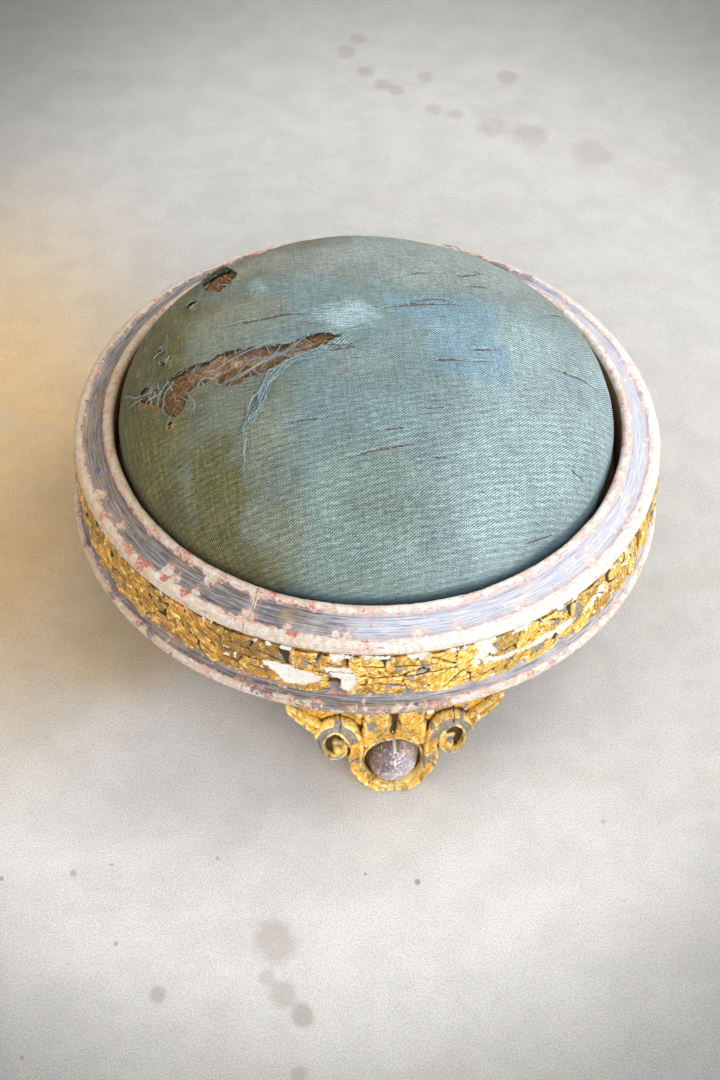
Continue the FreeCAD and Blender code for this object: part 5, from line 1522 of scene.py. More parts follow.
def tear_outlines():
    """The tears' outlines with their ragged edges."""
    return [ragged(outline, 300 + 2 * index) for index, outline in enumerate(TEARS)]


def dome_lumps(chart):
    """Slow lumps of the stuffing, which hair, wadding and cover share."""
    place = at_level_zero(chart)
    lumps = 0.5 * grain(place, 62.0, 401, 2) + 0.16 * grain(place, 21.0, 402, 2)
    run = np.hypot(chart[..., 0], chart[..., 1])
    cloth = bpy.context.scene.footstool_cloth
    swelling = stuffed_swelling(cloth.fill, in_mm(cloth.most_swell))
    return lumps * (1.0 - ease(run, 150.0, 186.0)) + swelling(chart)


def slit_fields(chart):
    """Signed distance to the nearest slit, plain distance, and the slit's half width there."""
    nearest = np.full(chart.shape[:-1], 1e3)
    signed, width = nearest.copy(), np.zeros(nearest.shape)
    for half, *corners in SLITS:
        line = smooth_line(to_chart(np.array(corners)), 4.0)
        distance, along = to_line(chart, line)
        ends = line[-1] - line[0]
        past = chart - line[0]
        side = np.sign(ends[0] * past[..., 1] - ends[1] * past[..., 0])
        nearer = distance < nearest
        nearest = np.where(nearer, distance, nearest)
        signed = np.where(nearer, distance * side, signed)
        width = np.where(nearer, half * (1.0 - 0.8 * np.abs(2 * along - 1.0) ** 2.5), width)
    return np.clip(signed, -9, 9), np.clip(nearest, 0, 9), width


def cloth_colours(chart):
    """Shares of each stain and worn place over the cloth."""
    place = at_level_zero(chart)
    spots = above(chart)
    x, y = spots[..., 0], spots[..., 1]
    run = np.hypot(chart[..., 0], chart[..., 1])
    drift = 9.0 * grain(place, 26.0, 411) + 4.0 * grain(place, 8.0, 412)
    olive = ease(-x + 0.10 * y + drift, 88.0, 138.0)
    olive = np.maximum(olive, 0.8 * ease(run + drift, 150.0, 180.0) * ease(-x, 20.0, 90.0))
    olive = np.maximum(olive, 0.65 * ease(y + drift, 96.0, 128.0) * ease(-x, -40.0, 30.0))
    streak = ease(24.0 - np.abs(x + 99.0 + 0.5 * drift), 0.0, 16.0) * ease(-y, 40.0, 80.0)
    olive = np.maximum(olive, 0.75 * streak)
    inside = -inside_outline(spots, BLUE_AREA) + 0.8 * drift
    blue = 0.85 * ease(inside, -6.0, 12.0)
    near_slits, _ = to_line(spots, BLUE_SLITS)
    blue = np.maximum(blue, 0.45 * ease(16.0 - near_slits + drift, 0.0, 12.0))
    threads, _ = to_line(spots, BLUE_TEAR_EDGE)
    blue = np.maximum(blue, 0.55 * ease(8.0 - threads + 0.5 * drift, 0.0, 8.0))
    low_streak, _ = to_line(spots, BLUE_STREAK)
    blue = np.maximum(blue, 0.6 * ease(8.0 - low_streak, 0.0, 7.0))
    # Painted light along the front-right rim, laid into the blue
    rim_glow = ease(run, 165.0, 188.0) * ease(-y + x, 20.0, 120.0) * ease(-y, -20.0, 40.0)
    blue = np.maximum(blue, 0.6 * rim_glow)
    grey = ease(y + 0.25 * x + drift, 28.0, 88.0) * 0.95
    left_band = 0.6 * ease(30.0 - np.abs(y - 36.0) + drift, 0.0, 25.0) * ease(-x, 30.0, 60.0)
    grey = np.maximum(grey, left_band)
    grey = np.maximum(grey, 0.5 * ease(30.0 - np.hypot(x + 10.0, y + 22.0) + drift, 0.0, 25.0))
    white = ease(24.0 - np.hypot((x + 14.0) * 0.75, y - 19.0) + 0.6 * drift, 0.0, 20.0)
    white = np.maximum(white, 0.5 * ease(13.0 - np.hypot(x - 42.0, y - 8.0), 0.0, 10.0))
    halo = 9.0 - np.hypot((x + 68.8) * 1.1, (y - 63.0) * 0.65)
    halo = ease(halo + 2.0 * grain(place, 3.0, 413), 0.0, 4.0)
    rust = np.zeros(x.shape)
    for across, along, size in RUST_SPOTS:
        gap = np.hypot(x - across, (y - along) * 0.6) + 1.6 * grain(place, 3.0, 415)
        rust = np.maximum(rust, ease(size - gap, -0.8, 1.2))
    band, _ = to_line(spots, TEAR_FOLD)
    fold = ease(6.5 - band + 0.25 * drift, 0.0, 5.0)
    low = 0.42 * ease(-y + 0.4 * drift, 45.0, 105.0) * ease(70.0 - x, 0.0, 60.0)
    shaded = np.maximum(ease(-x - 0.1 * y + drift, 30.0, 92.0), np.maximum(0.6 * fold, low))
    return {
        "olive": olive, "blue": np.maximum(blue * (1.0 - 0.6 * olive), 0.8 * fold),
        "grey": grey * (1.0 - 0.5 * blue), "white": np.maximum(white, 0.9 * halo),
        # Painted light, brighter and cooler towards the right
        "light": ease(x - 0.35 * y + drift, 10.0, 112.0), "cool_light": ease(x + drift, -70.0, 25.0),
        "shaded": shaded, "dirt": 0.5 + 0.5 * grain(place, 34.0, 414), "rust": rust,
        # Painted shade where the dome turns down at its front and right
        "edge": ease(run, 172.0, 190.0) * ease(x - y, 20.0, 110.0),
    }


def cover_lift(chart, tears):
    """Height of the cloth over the dome, with what lies round tears and slits."""
    place = at_level_zero(chart)
    lift = dome_lumps(chart)
    main, back = tears[0], tears[2]
    near = np.full(chart.shape[:-1], 1e3)
    for outline in tears:
        near = np.minimum(near, np.abs(inside_outline(chart, outline)))
    curl = ridge(near, 0.0, 2.4) * (0.9 + 0.9 * grain(place, 7.0, 421))
    lift = lift + curl - 1.2 * ridge(near, 7.0, 7.0)
    gap = np.abs(inside_outline(chart, back))
    middle = back.mean(axis=0)
    aside = (chart - middle) @ np.array([-0.72, 0.69])
    lift = lift + 3.2 * ridge(gap, 0.0, 4.0) * ease(aside, 0.0, 8.0)
    gap = np.abs(inside_outline(chart, main))
    lift = lift + 1.0 * ridge(gap, 1.0, 4.5) * ease(chart[..., 1] - main[:, 1].mean(), 0.0, 10.0)
    signed, near_slit, width = slit_fields(chart)
    lift = lift - 0.8 * ridge(near_slit, 0.0, 1.8) + 0.35 * ridge(near_slit, 3.2, 1.6)
    run = np.hypot(chart[..., 0], chart[..., 1])
    turn = np.degrees(np.arctan2(chart[..., 1], chart[..., 0]))
    round_place = on_circle(turn, 160.0)
    fold = 182.0 + 3.0 * grain(round_place, 60.0, 423)
    lift = lift - 1.1 * ridge(run, fold, 2.6) * ease(grain(round_place, 90.0, 424) + 0.5, 0.0, 0.6)
    puckers = grain(np.concatenate([round_place[..., :2], run[..., None] * 0.12], axis=-1), 9.0, 425)
    lift = lift + 0.55 * puckers * ease(run, 176.0, 196.0) * (1.0 - ease(run, 208.0, 216.0))
    lift = lift + 0.10 * grain(place, 5.0, 426)
    lift = np.where(run > 205.0, np.minimum(lift, 0.0), lift)
    return lift * (1.0 - ease(run, 206.0, 216.0)), (signed, near_slit, width)


# The cloth of the trial: rings, sides, its run from the middle and the moments it settles in
TRIAL_RINGS, TRIAL_SIDES, TRIAL_RUN, TRIAL_MOMENTS = 34, 96, 214.0, 20


def press_cloth(trial, fill):
    """Lets the stuffing press on a tacked trial cloth, and gives its settled places."""
    cloth = trial.modifiers.new("stuffing_pressure", "CLOTH")
    cloth.settings.use_pressure = True
    cloth.settings.uniform_pressure_force = 3.0 + 3.0 * fill
    cloth.settings.vertex_group_mass = "tacked"
    cloth.settings.quality = 6
    cloth.settings.tension_stiffness = 25.0
    cloth.settings.compression_stiffness = 8.0
    cloth.settings.bending_stiffness = 0.4
    cloth.settings.mass = 0.25
    cloth.settings.effector_weights.gravity = 0.0
    cloth.collision_settings.use_collision = False
    cloth.point_cache.frame_start = 1
    cloth.point_cache.frame_end = TRIAL_MOMENTS
    scene = bpy.context.scene
    for moment in range(1, TRIAL_MOMENTS + 1):
        scene.frame_set(moment)
    graph = bpy.context.evaluated_depsgraph_get()
    moved = trial.evaluated_get(graph).to_mesh()
    places = np.empty(len(moved.vertices) * 3)
    moved.vertices.foreach_get("co", places)
    scene.frame_set(1)
    return places.reshape(-1, 3) / MM


@functools.cache
def stuffed_swelling(fill, most_swell):
    """How far the stuffing's pressure moves the tacked cloth, from a cloth simulation."""
    rings, sides = TRIAL_RINGS, TRIAL_SIDES
    runs = np.linspace(0.0, TRIAL_RUN, rings + 1)[1:]
    turns = np.radians(np.linspace(0.0, 360.0, sides, endpoint=False))
    chart = np.stack([runs[:, None] * np.cos(turns), runs[:, None] * np.sin(turns)], axis=-1)
    place = at_level_zero(chart)
    start = -1.6 + 0.5 * grain(place, 38.0, 431)
    points = on_dome(chart, start).reshape(-1, 3)
    top = on_dome(np.zeros((1, 2)), np.array([-1.6]))
    centre = len(points)
    faces = [tuple(int(i) for i in quad[::-1]) for quad in grid_quads(rings, sides, True)]
    faces.extend((centre, i, (i + 1) % sides) for i in range(sides))
    last = centre - sides
    faces.append(tuple(last + i for i in range(sides))[::-1])
    mesh = bpy.data.meshes.new("pad_cloth_trial")
    mesh.from_pydata([tuple(p * MM) for p in np.vstack([points, top])], [], faces)
    trial = bpy.data.objects.new("pad_cloth_trial", mesh)
    bpy.context.scene.collection.objects.link(trial)
    held = trial.vertex_groups.new(name="tacked")
    held.add(list(range(last - sides, last + sides)), 1.0, "REPLACE")
    pulled = [
        i * sides + j for i in range(rings) for j in range(sides) if runs[i] > 190.0 and j % 6 == 0
    ]
    held.add(pulled, 0.35, "REPLACE")
    after = press_cloth(trial, fill)[:centre]
    bpy.data.objects.remove(trial)
    bpy.data.meshes.remove(mesh)
    reach = np.hypot(*(after[:, :2] - [PAD_SHIFT, 0.0]).T)
    profile = np.interp(runs, DOME_RUN, DOME_SPOTS[:, 0])[:, None]
    level = np.interp(runs, DOME_RUN, DOME_SPOTS[:, 1])[:, None]
    out = np.stack([np.interp(runs, DOME_RUN, DOME_NORMAL[:, i])[:, None] for i in (0, 1)])
    gain = (reach.reshape(rings, sides) - profile) * out[0]
    gain += (after[:, 2].reshape(rings, sides) - level) * out[1]
    gain = gain - np.median(gain[:24])
    gain = np.clip(gain, -most_swell, most_swell)

    def swelling(chart):
        run = np.hypot(chart[..., 0], chart[..., 1])
        turn = np.degrees(np.arctan2(chart[..., 1], chart[..., 0])) % 360.0
        ring = np.clip(run / TRIAL_RUN * rings - 1.0, 0.0, rings - 1.001)
        side = turn / 360.0 * sides
        low, first = np.floor(ring).astype(int), np.floor(side).astype(int) % sides
        up, along = ring - low, side - np.floor(side)
        following = (first + 1) % sides
        value = (gain[low, first] * (1 - along) + gain[low, following] * along) * (1 - up)
        value += (gain[low + 1, first] * (1 - along) + gain[low + 1, following] * along) * up
        return value * (1.0 - ease(run, 186.0, 206.0)) * ease(run, 0.0, 12.0)
    return swelling


def cloth_finish(settings):
    """Worn ribbed cloth: two colours of thread, rubbed, stained and split along its weft, with painted
    light on the right and painted shade on the left, along the front-right rim and in the slits.
    """
    made = Finish("worn_teal_cloth")
    pitch = in_mm(settings.rib_pitch)
    ribs = made.bands(pitch, made.chart((1.0, 1.0, 1.0), 52.0), 1.6, 3.0, 0.5)
    upright = made.bands(pitch * 0.85, made.chart((1.0, 1.0, 1.0), 2.0), 1.8, 3.0, 0.7)
    weft = made.noise(1.0, 3.0, 0.65, made.chart((0.22, 1.5, 1.0)))
    speckle = made.noise(0.7, 3.0, 0.6, made.chart((1.0, 1.0, 1.0)))
    drag = made.noise(1.0, 4.0, 0.65, made.chart((0.07, 0.8, 1.0)))
    warp = made.noise(1.0, 4.0, 0.65, made.chart((0.6, 0.045, 1.0)))
    clouds = made.noise(19.0, 5.0, 0.62)
    blotch = made.noise(7.0, 4.0, 0.65)
    light = made.field("light") + (clouds - 0.5) * 0.8
    colour = made.mix(settings.teal, (0.30, 0.405, 0.42), made.ease(light, 0.0, 1.0))
    # Painted cool light: the dusty grey is paler and greener towards the right
    grey = made.mix(settings.grey, (0.30, 0.345, 0.325), made.field("cool_light"))
    dusty = made.field("grey") + (blotch - 0.5) * 0.9
    colour = made.mix(colour, grey, made.ease(dusty, 0.1, 1.0, 0.0, 0.9))
    blue = made.field("blue") + (drag - 0.5)
    blue = blue + (blotch - 0.5) * 1.1
    colour = made.mix(colour, settings.blue, made.ease(blue, 0.15, 1.1, 0.0, 0.85))
    white = made.field("white") + (drag - 0.5) * 1.3
    colour = made.mix(colour, settings.pale, made.ease(white, 0.2, 1.1, 0.0, 0.75))
    shaded = made.field("shaded") + (blotch - 0.5) * 0.5
    colour = made.mix(colour, (0.19, 0.185, 0.108), made.ease(shaded, 0.05, 1.0, 0.0, 0.72))
    olive = made.field("olive") + (clouds - 0.5) * 0.6
    olive = olive + (warp - 0.5) * 0.5
    colour = made.mix(colour, settings.olive, made.ease(olive, 0.1, 0.95, 0.0, 0.93))
    yellow = warp + made.field("olive") * 0.1
    yellow = made.ease(yellow, 0.56, 0.70) * 0.30
    colour = made.mix(colour, (0.27, 0.245, 0.09), yellow * made.field("shaded"))
    colour = made.shade(colour, made.ease(made.field("dirt"), 0.1, 0.9, 0.86, 1.10))
    rust = made.field("rust") + (speckle - 0.5) * 1.2
    colour = made.mix(colour, (0.26, 0.135, 0.035), made.ease(rust, 0.35, 0.80, 0.0, 0.8))
    lines = ribs * 0.50 + upright * 0.18
    lines = lines + (weft - 0.5) * 1.2
    lines = lines + (speckle - 0.5) * 1.7
    colour = made.shade(colour, made.ease(lines, -0.05, 0.70, 0.30, 1.64))
    ripples = made.bands(4.4, made.chart((1.0, 1.0, 1.0), 78.0), 5.0, 3.0, 0.35)
    _, forward, _ = made.parts(made.chart())
    near_front = made.ease(forward, -15.0, -75.0)
    ripples = (made.ease(ripples, 0.1, 0.9) - 0.5) * (near_front * 0.24)
    colour = made.shade(colour, ripples + 1.0)
    # Painted shade along the front and right rim of the pad
    edge = made.field("edge") + (drag - 0.5) * 0.5
    colour = made.mix(colour, (0.055, 0.135, 0.19), made.ease(edge, 0.15, 1.0, 0.0, 0.75))
    dyed = made.noise(0.9, 3.0, 0.6, made.chart((0.5, 1.0, 1.0), 9.0))
    colour = made.mix(colour, (0.34, 0.29, 0.19), made.ease(dyed, 0.57, 0.66, 0.0, 0.38))
    colour = made.mix(colour, (0.10, 0.24, 0.33), made.ease(dyed, 0.43, 0.35, 0.0, 0.42))
    colour = made.shade(colour, made.ease(drag, 0.34, 0.66, 0.80, 1.18))
    colour = made.shade(colour, made.ease(warp, 0.36, 0.64, 0.90, 1.10))
    snag = made.noise(1.0, 4.0, 0.7, made.chart((0.055, 1.0, 1.0), 3.0))
    colour = made.mix(colour, (0.15, 0.105, 0.07), made.ease(snag, 0.64, 0.70, 0.0, 0.55))
    colour = made.mix(colour, settings.pale, made.ease(snag, 0.34, 0.29, 0.0, 0.5))
    worn = made.math("ABSOLUTE", made.field("slit")) - made.field("slit_width")
    rag = made.noise(1.0, 3.0, 0.6, made.chart((0.4, 1.3, 1.0)))
    worn = worn + (rag - 0.5) * 2.6
    beside = made.ease(made.field("slit_near"), 3.0, 2.0)
    open_slit = made.ease(worn, 0.0, -0.45) * beside
    frayed = made.ease(worn, 1.8, 0.4) * (beside * made.ease(rag, 0.45, 0.6))
    colour = made.mix(colour, settings.pale, frayed * 0.38)
    strand = made.noise(1.0, 2.0, 0.6, made.chart((0.25, 2.6, 1.0), 5.0))
    # Painted shadow inside the open slits, with brown wadding and pale threads showing in it
    under = made.mix((0.045, 0.03, 0.025), (0.33, 0.18, 0.11), made.ease(strand, 0.47, 0.62))
    under = made.mix(under, settings.pale, made.ease(strand, 0.60, 0.66, 0.0, 0.8))
    colour = made.mix(colour, under, open_slit * 0.85)
    relief = ribs * 0.55 + upright * 0.2
    relief = relief + (speckle * 0.8 + weft * 0.9)
    relief = relief + drag * 0.5
    relief = relief - open_slit * 2.2
    return made.finish(
        colour, made.ease(speckle, 0.3, 0.7, 0.76, 0.94), made.bump(relief, 0.34),
        Sheen_Weight=0.10, Sheen_Roughness=0.5, Specular_IOR_Level=0.2,
    )


def make_cover(settings):
    """The cloth cover with its tears, turned in under the pad."""
    tears = tear_outlines()
    axes = uneven_axes((-146.0, -12.0), (-52.0, 108.0), 1.25, 3.1, 238.0)

    def shape(spots):
        value = np.hypot(spots[..., 0], spots[..., 1]) - CLOTH_EDGE
        near = (spots[..., 0] < 0.0) & (spots[..., 1] > -70.0) & (value < -20.0)
        for outline in tears:
            hole = -inside_outline(spots[near], outline)
            value[near] = np.maximum(value[near], hole)
        return value

    chart, quads, rim = cut_sheet(axes, shape)
    lift, (signed, near_slit, width) = cover_lift(chart, tears)
    points = on_dome(chart, lift)
    inner = on_dome(chart, lift - 0.9)
    start, end, count = rim[:, 0], rim[:, 1], len(chart)
    sides = np.stack([end, start, start + count, end + count], axis=-1)
    fields = cloth_colours(chart)
    fields.update({"slit": signed, "slit_near": near_slit, "slit_width": width})
    piece = build_piece(
        "worn_cloth_cover", np.vstack([points, inner]),
        np.vstack([quads, quads[:, ::-1] + count, sides]),
        fields={title: np.tile(values, 2) for title, values in fields.items()},
        chart=np.tile(chart, (2, 1)),
    )
    settle(piece, "pad", "teal_cloth", cloth_finish(settings), "top_cover")


def thread_finish(settings):
    """Pale rubbed threads, some bluer and a few straw-coloured."""
    made = Finish("frayed_pale_threads")
    tone = made.field("shade")
    colour = made.mix((0.05, 0.085, 0.09), settings.pale, made.ease(tone, 0.10, 0.60))
    colour = made.mix(colour, settings.blue, made.ease(tone, 0.66, 0.80, 0.0, 0.8))
    colour = made.mix(colour, (0.50, 0.42, 0.20), made.ease(tone, 0.90, 0.93, 0.0, 0.9))
    twist = made.noise(0.6, 2.0)
    colour = made.shade(colour, made.ease(twist, 0.3, 0.7, 0.7, 1.25))
    rough = made.ease(twist, 0.3, 0.7, 0.65, 0.85)
    return made.finish(colour, rough, made.bump(twist, 0.12), Sheen_Weight=0.2)


def waver(path, seed, amount, size):
    """Small bends to add to a thread's path."""
    place = at_level_zero(path)
    return np.stack([grain(place, size, seed), grain(place, size, seed + 1)], axis=-1) * amount


def make_threads(settings):
    """Frayed threads: bundles across the tears and short ends along their edges."""
    paths, radii = [], []
    for number, (radius, *corners) in enumerate(THREAD_PATHS):
        for strand in range(8 if radius > 0.31 else 3):
            line = smooth_line(to_chart(np.array(corners)), 1.5)
            spread = 0.7 + 0.45 * strand if radius > 0.31 else 0.6 + 0.4 * strand
            line = line + waver(line + 31.0 * strand, 500 + number * 7 + strand, spread, 8.0)
            part = np.linspace(0.0, 1.0, len(line))
            lift = 0.7 + 1.3 * np.sin(part * math.pi) + 0.5 * np.sin(part * (9.0 + strand) + number)
            paths.append(on_dome(line, dome_lumps(line) + lift))
            radii.append(radius * (0.47 - 0.035 * strand))
    for number, outline in enumerate(tear_outlines()):
        middle = outline.mean(axis=0)
        for index, corner in enumerate(outline):
            luck = lattice_values(np.array([[number, index, k] for k in range(5)]), 61)
            if luck[4] > 0.30:
                continue
            turn = luck[0] * 2.6 - 1.3
            inward = (middle - corner) / max(np.linalg.norm(middle - corner), 1e-6)
            if number == 0:
                inward = np.array([-0.5, -1.0 if corner[1] > middle[1] else 0.8])
            ahead = np.array([
                inward[0] * math.cos(turn) - inward[1] * math.sin(turn),
                inward[0] * math.sin(turn) + inward[1] * math.cos(turn),
            ])
            length = 1.5 + 8.0 * luck[1] ** 2
            part = np.linspace(0.0, 1.0, 7)[:, None]
            line = corner - ahead * 0.9 + ahead * part * (length + 0.9)
            line = line + waver(line, 700 + index, 1.2, 4.0) * part
            lift = dome_lumps(line) + 0.4 + 0.7 * luck[2] * part[:, 0]
            paths.append(on_dome(line, lift))
            radii.append(0.13 + 0.06 * luck[3])
    piece = make_tubes("frayed_threads", paths, radii)
    settle(piece, "pad", "teal_cloth", thread_finish(settings))


# What lies inside the pad
WADDING_RUN, HAIR_RADIUS, HAIR_LEVEL = 197.0, 150.0, 136.6


def fibre_finish(settings):
    """Matted brown fibre with paler fluff."""
    made = Finish("matted_fibre")
    strands = made.noise(0.9, 5.0, 0.7, bend=2.5)
    mats = made.noise(5.0, 4.0, 0.65, bend=0.8)
    colour = made.mix((0.075, 0.030, 0.010), settings.fibre, made.ease(strands, 0.36, 0.58))
    colour = made.mix(colour, (0.48, 0.27, 0.09), made.ease(strands, 0.58, 0.74))
    fluff = made.field("fluff") + (mats - 0.5) * 1.1
    colour = made.mix(colour, settings.fluff, made.ease(fluff, 0.35, 0.70, 0.0, 0.9))
    colour = made.shade(colour, made.ease(mats, 0.35, 0.65, 0.62, 1.25))
    relief = strands * 0.8 + mats
    rough = made.ease(strands, 0.2, 0.8, 0.85, 0.98)
    return made.finish(colour, rough, made.bump(relief, 1.1), Sheen_Weight=0.15)


def make_wadding(settings):
    """The matted layer under the cloth, with fluff along one line."""
    axes = uneven_axes((-152.0, -10.0), (-60.0, 116.0), 1.4, 5.0, 206.0)

    def shape(spots):
        return np.hypot(spots[..., 0], spots[..., 1]) - WADDING_RUN

    chart, quads, rim = cut_sheet(axes, shape)
    place = at_level_zero(chart)
    lumps = 1.0 * grain(place, 8.0, 441) + 0.8 * grain(place, 3.2, 442)
    lift = dome_lumps(chart) - 3.0 + np.clip(lumps, -1.6, 1.3)
    run = np.hypot(chart[:, 0], chart[:, 1])
    lift = np.where(run > 150.0, np.minimum(lift, -1.9), lift)
    spots = above(chart)
    fluff_line, _ = to_line(spots, FLUFF_LINE)
    fluff = ease(11.0 - fluff_line + 5.0 * grain(place, 6.0, 443), 0.0, 9.0)
    points = np.vstack([on_dome(chart, lift), on_dome(chart, np.minimum(lift - 2.2, -4.1))])
    count = len(chart)
    sides = np.stack([rim[:, 1], rim[:, 0], rim[:, 0] + count, rim[:, 1] + count], axis=-1)
    piece = build_piece(
        "matted_wadding", points, np.vstack([quads, quads[:, ::-1] + count, sides]),
        fields={"fluff": np.tile(fluff, 2)},
    )
    settle(piece, "pad", "wadding_fibre", fibre_finish(settings), "wadding")


def make_fibres():
    """Loose fibres that stand out of the torn places."""
    made = Finish("loose_fibres")
    tone = made.field("shade")
    colour = made.mix((0.10, 0.045, 0.018), (0.34, 0.16, 0.06), made.ease(tone, 0.1, 0.6))
    colour = made.mix(colour, (0.66, 0.46, 0.30), made.ease(tone, 0.80, 0.92))
    fine = made.noise(0.5, 2.0)
    colour = made.shade(colour, made.ease(fine, 0.3, 0.7, 0.8, 1.2))
    paint = made.finish(colour, made.ease(fine, 0.3, 0.7, 0.7, 0.9), made.bump(fine, 0.1))
    paths, radii = [], []
    part = np.linspace(-0.5, 0.5, 7)[:, None]
    for number, outline in enumerate(tear_outlines()):
        low, high = outline.min(axis=0), outline.max(axis=0)
        tries = int(0.55 * (high[0] - low[0]) * (high[1] - low[1]))
        cells = np.stack([np.arange(tries), np.full(tries, number), np.zeros(tries, int)], axis=-1)
        luck = np.stack([lattice_values(cells, seed) for seed in range(71, 78)], axis=-1)
        spots = low + luck[:, :2] * (high - low)
        inside = inside_outline(spots, outline) < -0.8
        for spot, (turn, length, bend, rise, width) in zip(spots[inside], luck[inside, 2:]):
            bend = (bend - 0.5) * 2.2
            heading = turn * 2.0 * math.pi + bend * part[:, 0]
            ahead = np.stack([np.cos(heading), np.sin(heading)], axis=-1)
            line = spot + ahead * part * (3.0 + 6.0 * length)
            lift = dome_lumps(line) - 1.6 + (0.8 * rise - 0.9) * (4 * part[:, 0] ** 2)
            lift = lift + 0.6 * np.cos(part[:, 0] * 5 + bend)
            paths.append(on_dome(line, lift))
            radii.append(0.075 + 0.05 * width)
    piece = make_tubes("loose_fibre_ends", paths, radii, 4)
    settle(piece, "pad", "wadding_fibre", paint)


def make_hair(settings):
    """The lumpy cake of hair on the base cloth."""
    def shape(spots):
        return np.hypot(spots[..., 0], spots[..., 1]) - HAIR_RADIUS

    axes = uneven_axes((-1.0, 1.0), (-1.0, 1.0), 1.0, 3.4, 154.0)
    flat, quads, rim = cut_sheet(axes, shape)
    place = at_level_zero(flat)
    chart = to_chart(flat + [PAD_SHIFT, 0.0])
    lumps = 1.2 * grain(place, 13.0, 451) + 0.6 * grain(place, 5.0, 452)
    top = on_dome(chart, dome_lumps(chart) - 6.4 + np.clip(lumps, -1.5, 1.2))
    floor = HAIR_LEVEL + 0.4 * grain(place, 9.0, 453)
    low = np.stack([flat[:, 0] + PAD_SHIFT, flat[:, 1], floor], axis=-1)
    count, on_rim = len(flat), np.unique(rim)
    order = np.full(count, -1)
    order[on_rim] = np.arange(len(on_rim))
    middle = 0.5 * (top[on_rim] + low[on_rim])
    outward = flat[on_rim] / HAIR_RADIUS
    middle[:, :2] += outward * (2.2 + 0.9 * grain(place[on_rim], 9.0, 454))[:, None]
    start, end = rim[:, 0], rim[:, 1]
    mid_start, mid_end = order[start] + 2 * count, order[end] + 2 * count
    piece = build_piece(
        "curled_hair_cake", np.vstack([top, low, middle]),
        np.vstack([
            quads, quads[:, ::-1] + count,
            np.stack([end, start, mid_start, mid_end], axis=-1),
            np.stack([mid_end, mid_start, start + count, end + count], axis=-1),
        ]),
    )
    made = Finish("curled_hair")
    curls = made.noise(1.1, 5.0, 0.7, bend=3.0)
    clumps = made.noise(7.0, 4.0, 0.6)
    colour = made.mix((0.045, 0.028, 0.016), settings.fibre, made.ease(curls, 0.42, 0.66))
    colour = made.shade(colour, made.ease(clumps, 0.3, 0.7, 0.7, 1.2))
    rough = made.ease(curls, 0.3, 0.7, 0.6, 0.85)
    paint = made.finish(colour, rough, made.bump(curls + clumps, 1.2))
    settle(piece, "pad", "stuffing_hair", paint, "hair_stuffing")


def weave_finish(name, tone, thread, strength):
    """Plain woven jute, its threads along x and y."""
    made = Finish(name)
    uneven = made.noise(9.0, 3.0)
    over, under = (
        made.bands(thread * MM, made.object_place, 0.6, 2.0, 0.02, axis) for axis in ("X", "Y")
    )
    hairs = made.noise(0.7, 4.0, 0.7, bend=1.0)
    knots = over * 0.5 + under * 0.5
    weave = knots + (hairs - 0.5) * 0.8
    dark = tuple(part * 0.35 for part in tone)
    light = tuple(min(part * 1.55, 1.0) for part in tone)
    colour = made.mix(dark, tone, made.ease(weave, 0.12, 0.5))
    colour = made.mix(colour, light, made.ease(weave, 0.6, 1.0, 0.0, 0.7))
    colour = made.shade(colour, made.ease(uneven, 0.3, 0.7, 0.78, 1.15))
    return made.finish(colour, made.ease(hairs, 0.3, 0.7, 0.8, 0.95), made.bump(weave, strength))


BASE_RADIUS, BASE_LEVEL, BASE_HALF = 153.4, 135.2, 0.28


def make_base_cloth(settings):
    """Base cloth stretched over the webs."""
    rings, sides = 74, 180
    runs = np.linspace(0.6, BASE_RADIUS, rings)
    turn = np.radians(np.linspace(0.0, 360.0, sides, endpoint=False))
    x, y = runs[:, None] * np.cos(turn), runs[:, None] * np.sin(turn)
    place = np.stack([x, y, np.zeros(x.shape)], axis=-1)
    loose = 1.0 - ease(runs[:, None], 120.0, 150.0)
    level = BASE_LEVEL + 0.10 * grain(place, 30.0, 461) * loose
    upper = np.stack([x + PAD_SHIFT, y, level + BASE_HALF], axis=-1).reshape(-1, 3)
    lower = np.stack([x + PAD_SHIFT, y, level - BASE_HALF], axis=-1).reshape(-1, 3)
    count = rings * sides
    quads = grid_quads(rings, sides, True)
    last = np.arange(sides) + (rings - 1) * sides
    following = np.roll(last, -1)
    rim = np.stack([last, last + count, following + count, following], axis=-1)
    caps = [np.arange(sides), np.arange(sides)[::-1] + count]
    piece = build_piece(
        "base_cloth", np.vstack([upper, lower]),
        np.vstack([quads[:, ::-1], quads + count, rim]), caps,
    )
    paint = weave_finish("jute_base_cloth", settings.jute, 1.6, 0.35)
    settle(piece, "pad", "hessian_cloth", paint, "hessian")
    return piece


WEB_PITCH, WEB_WIDTH, WEB_THICKNESS, WEB_LEVEL = 75.2, 50.0, 1.2, 132.7
WEB_REACHES = (116.2, 151.4, 116.2)


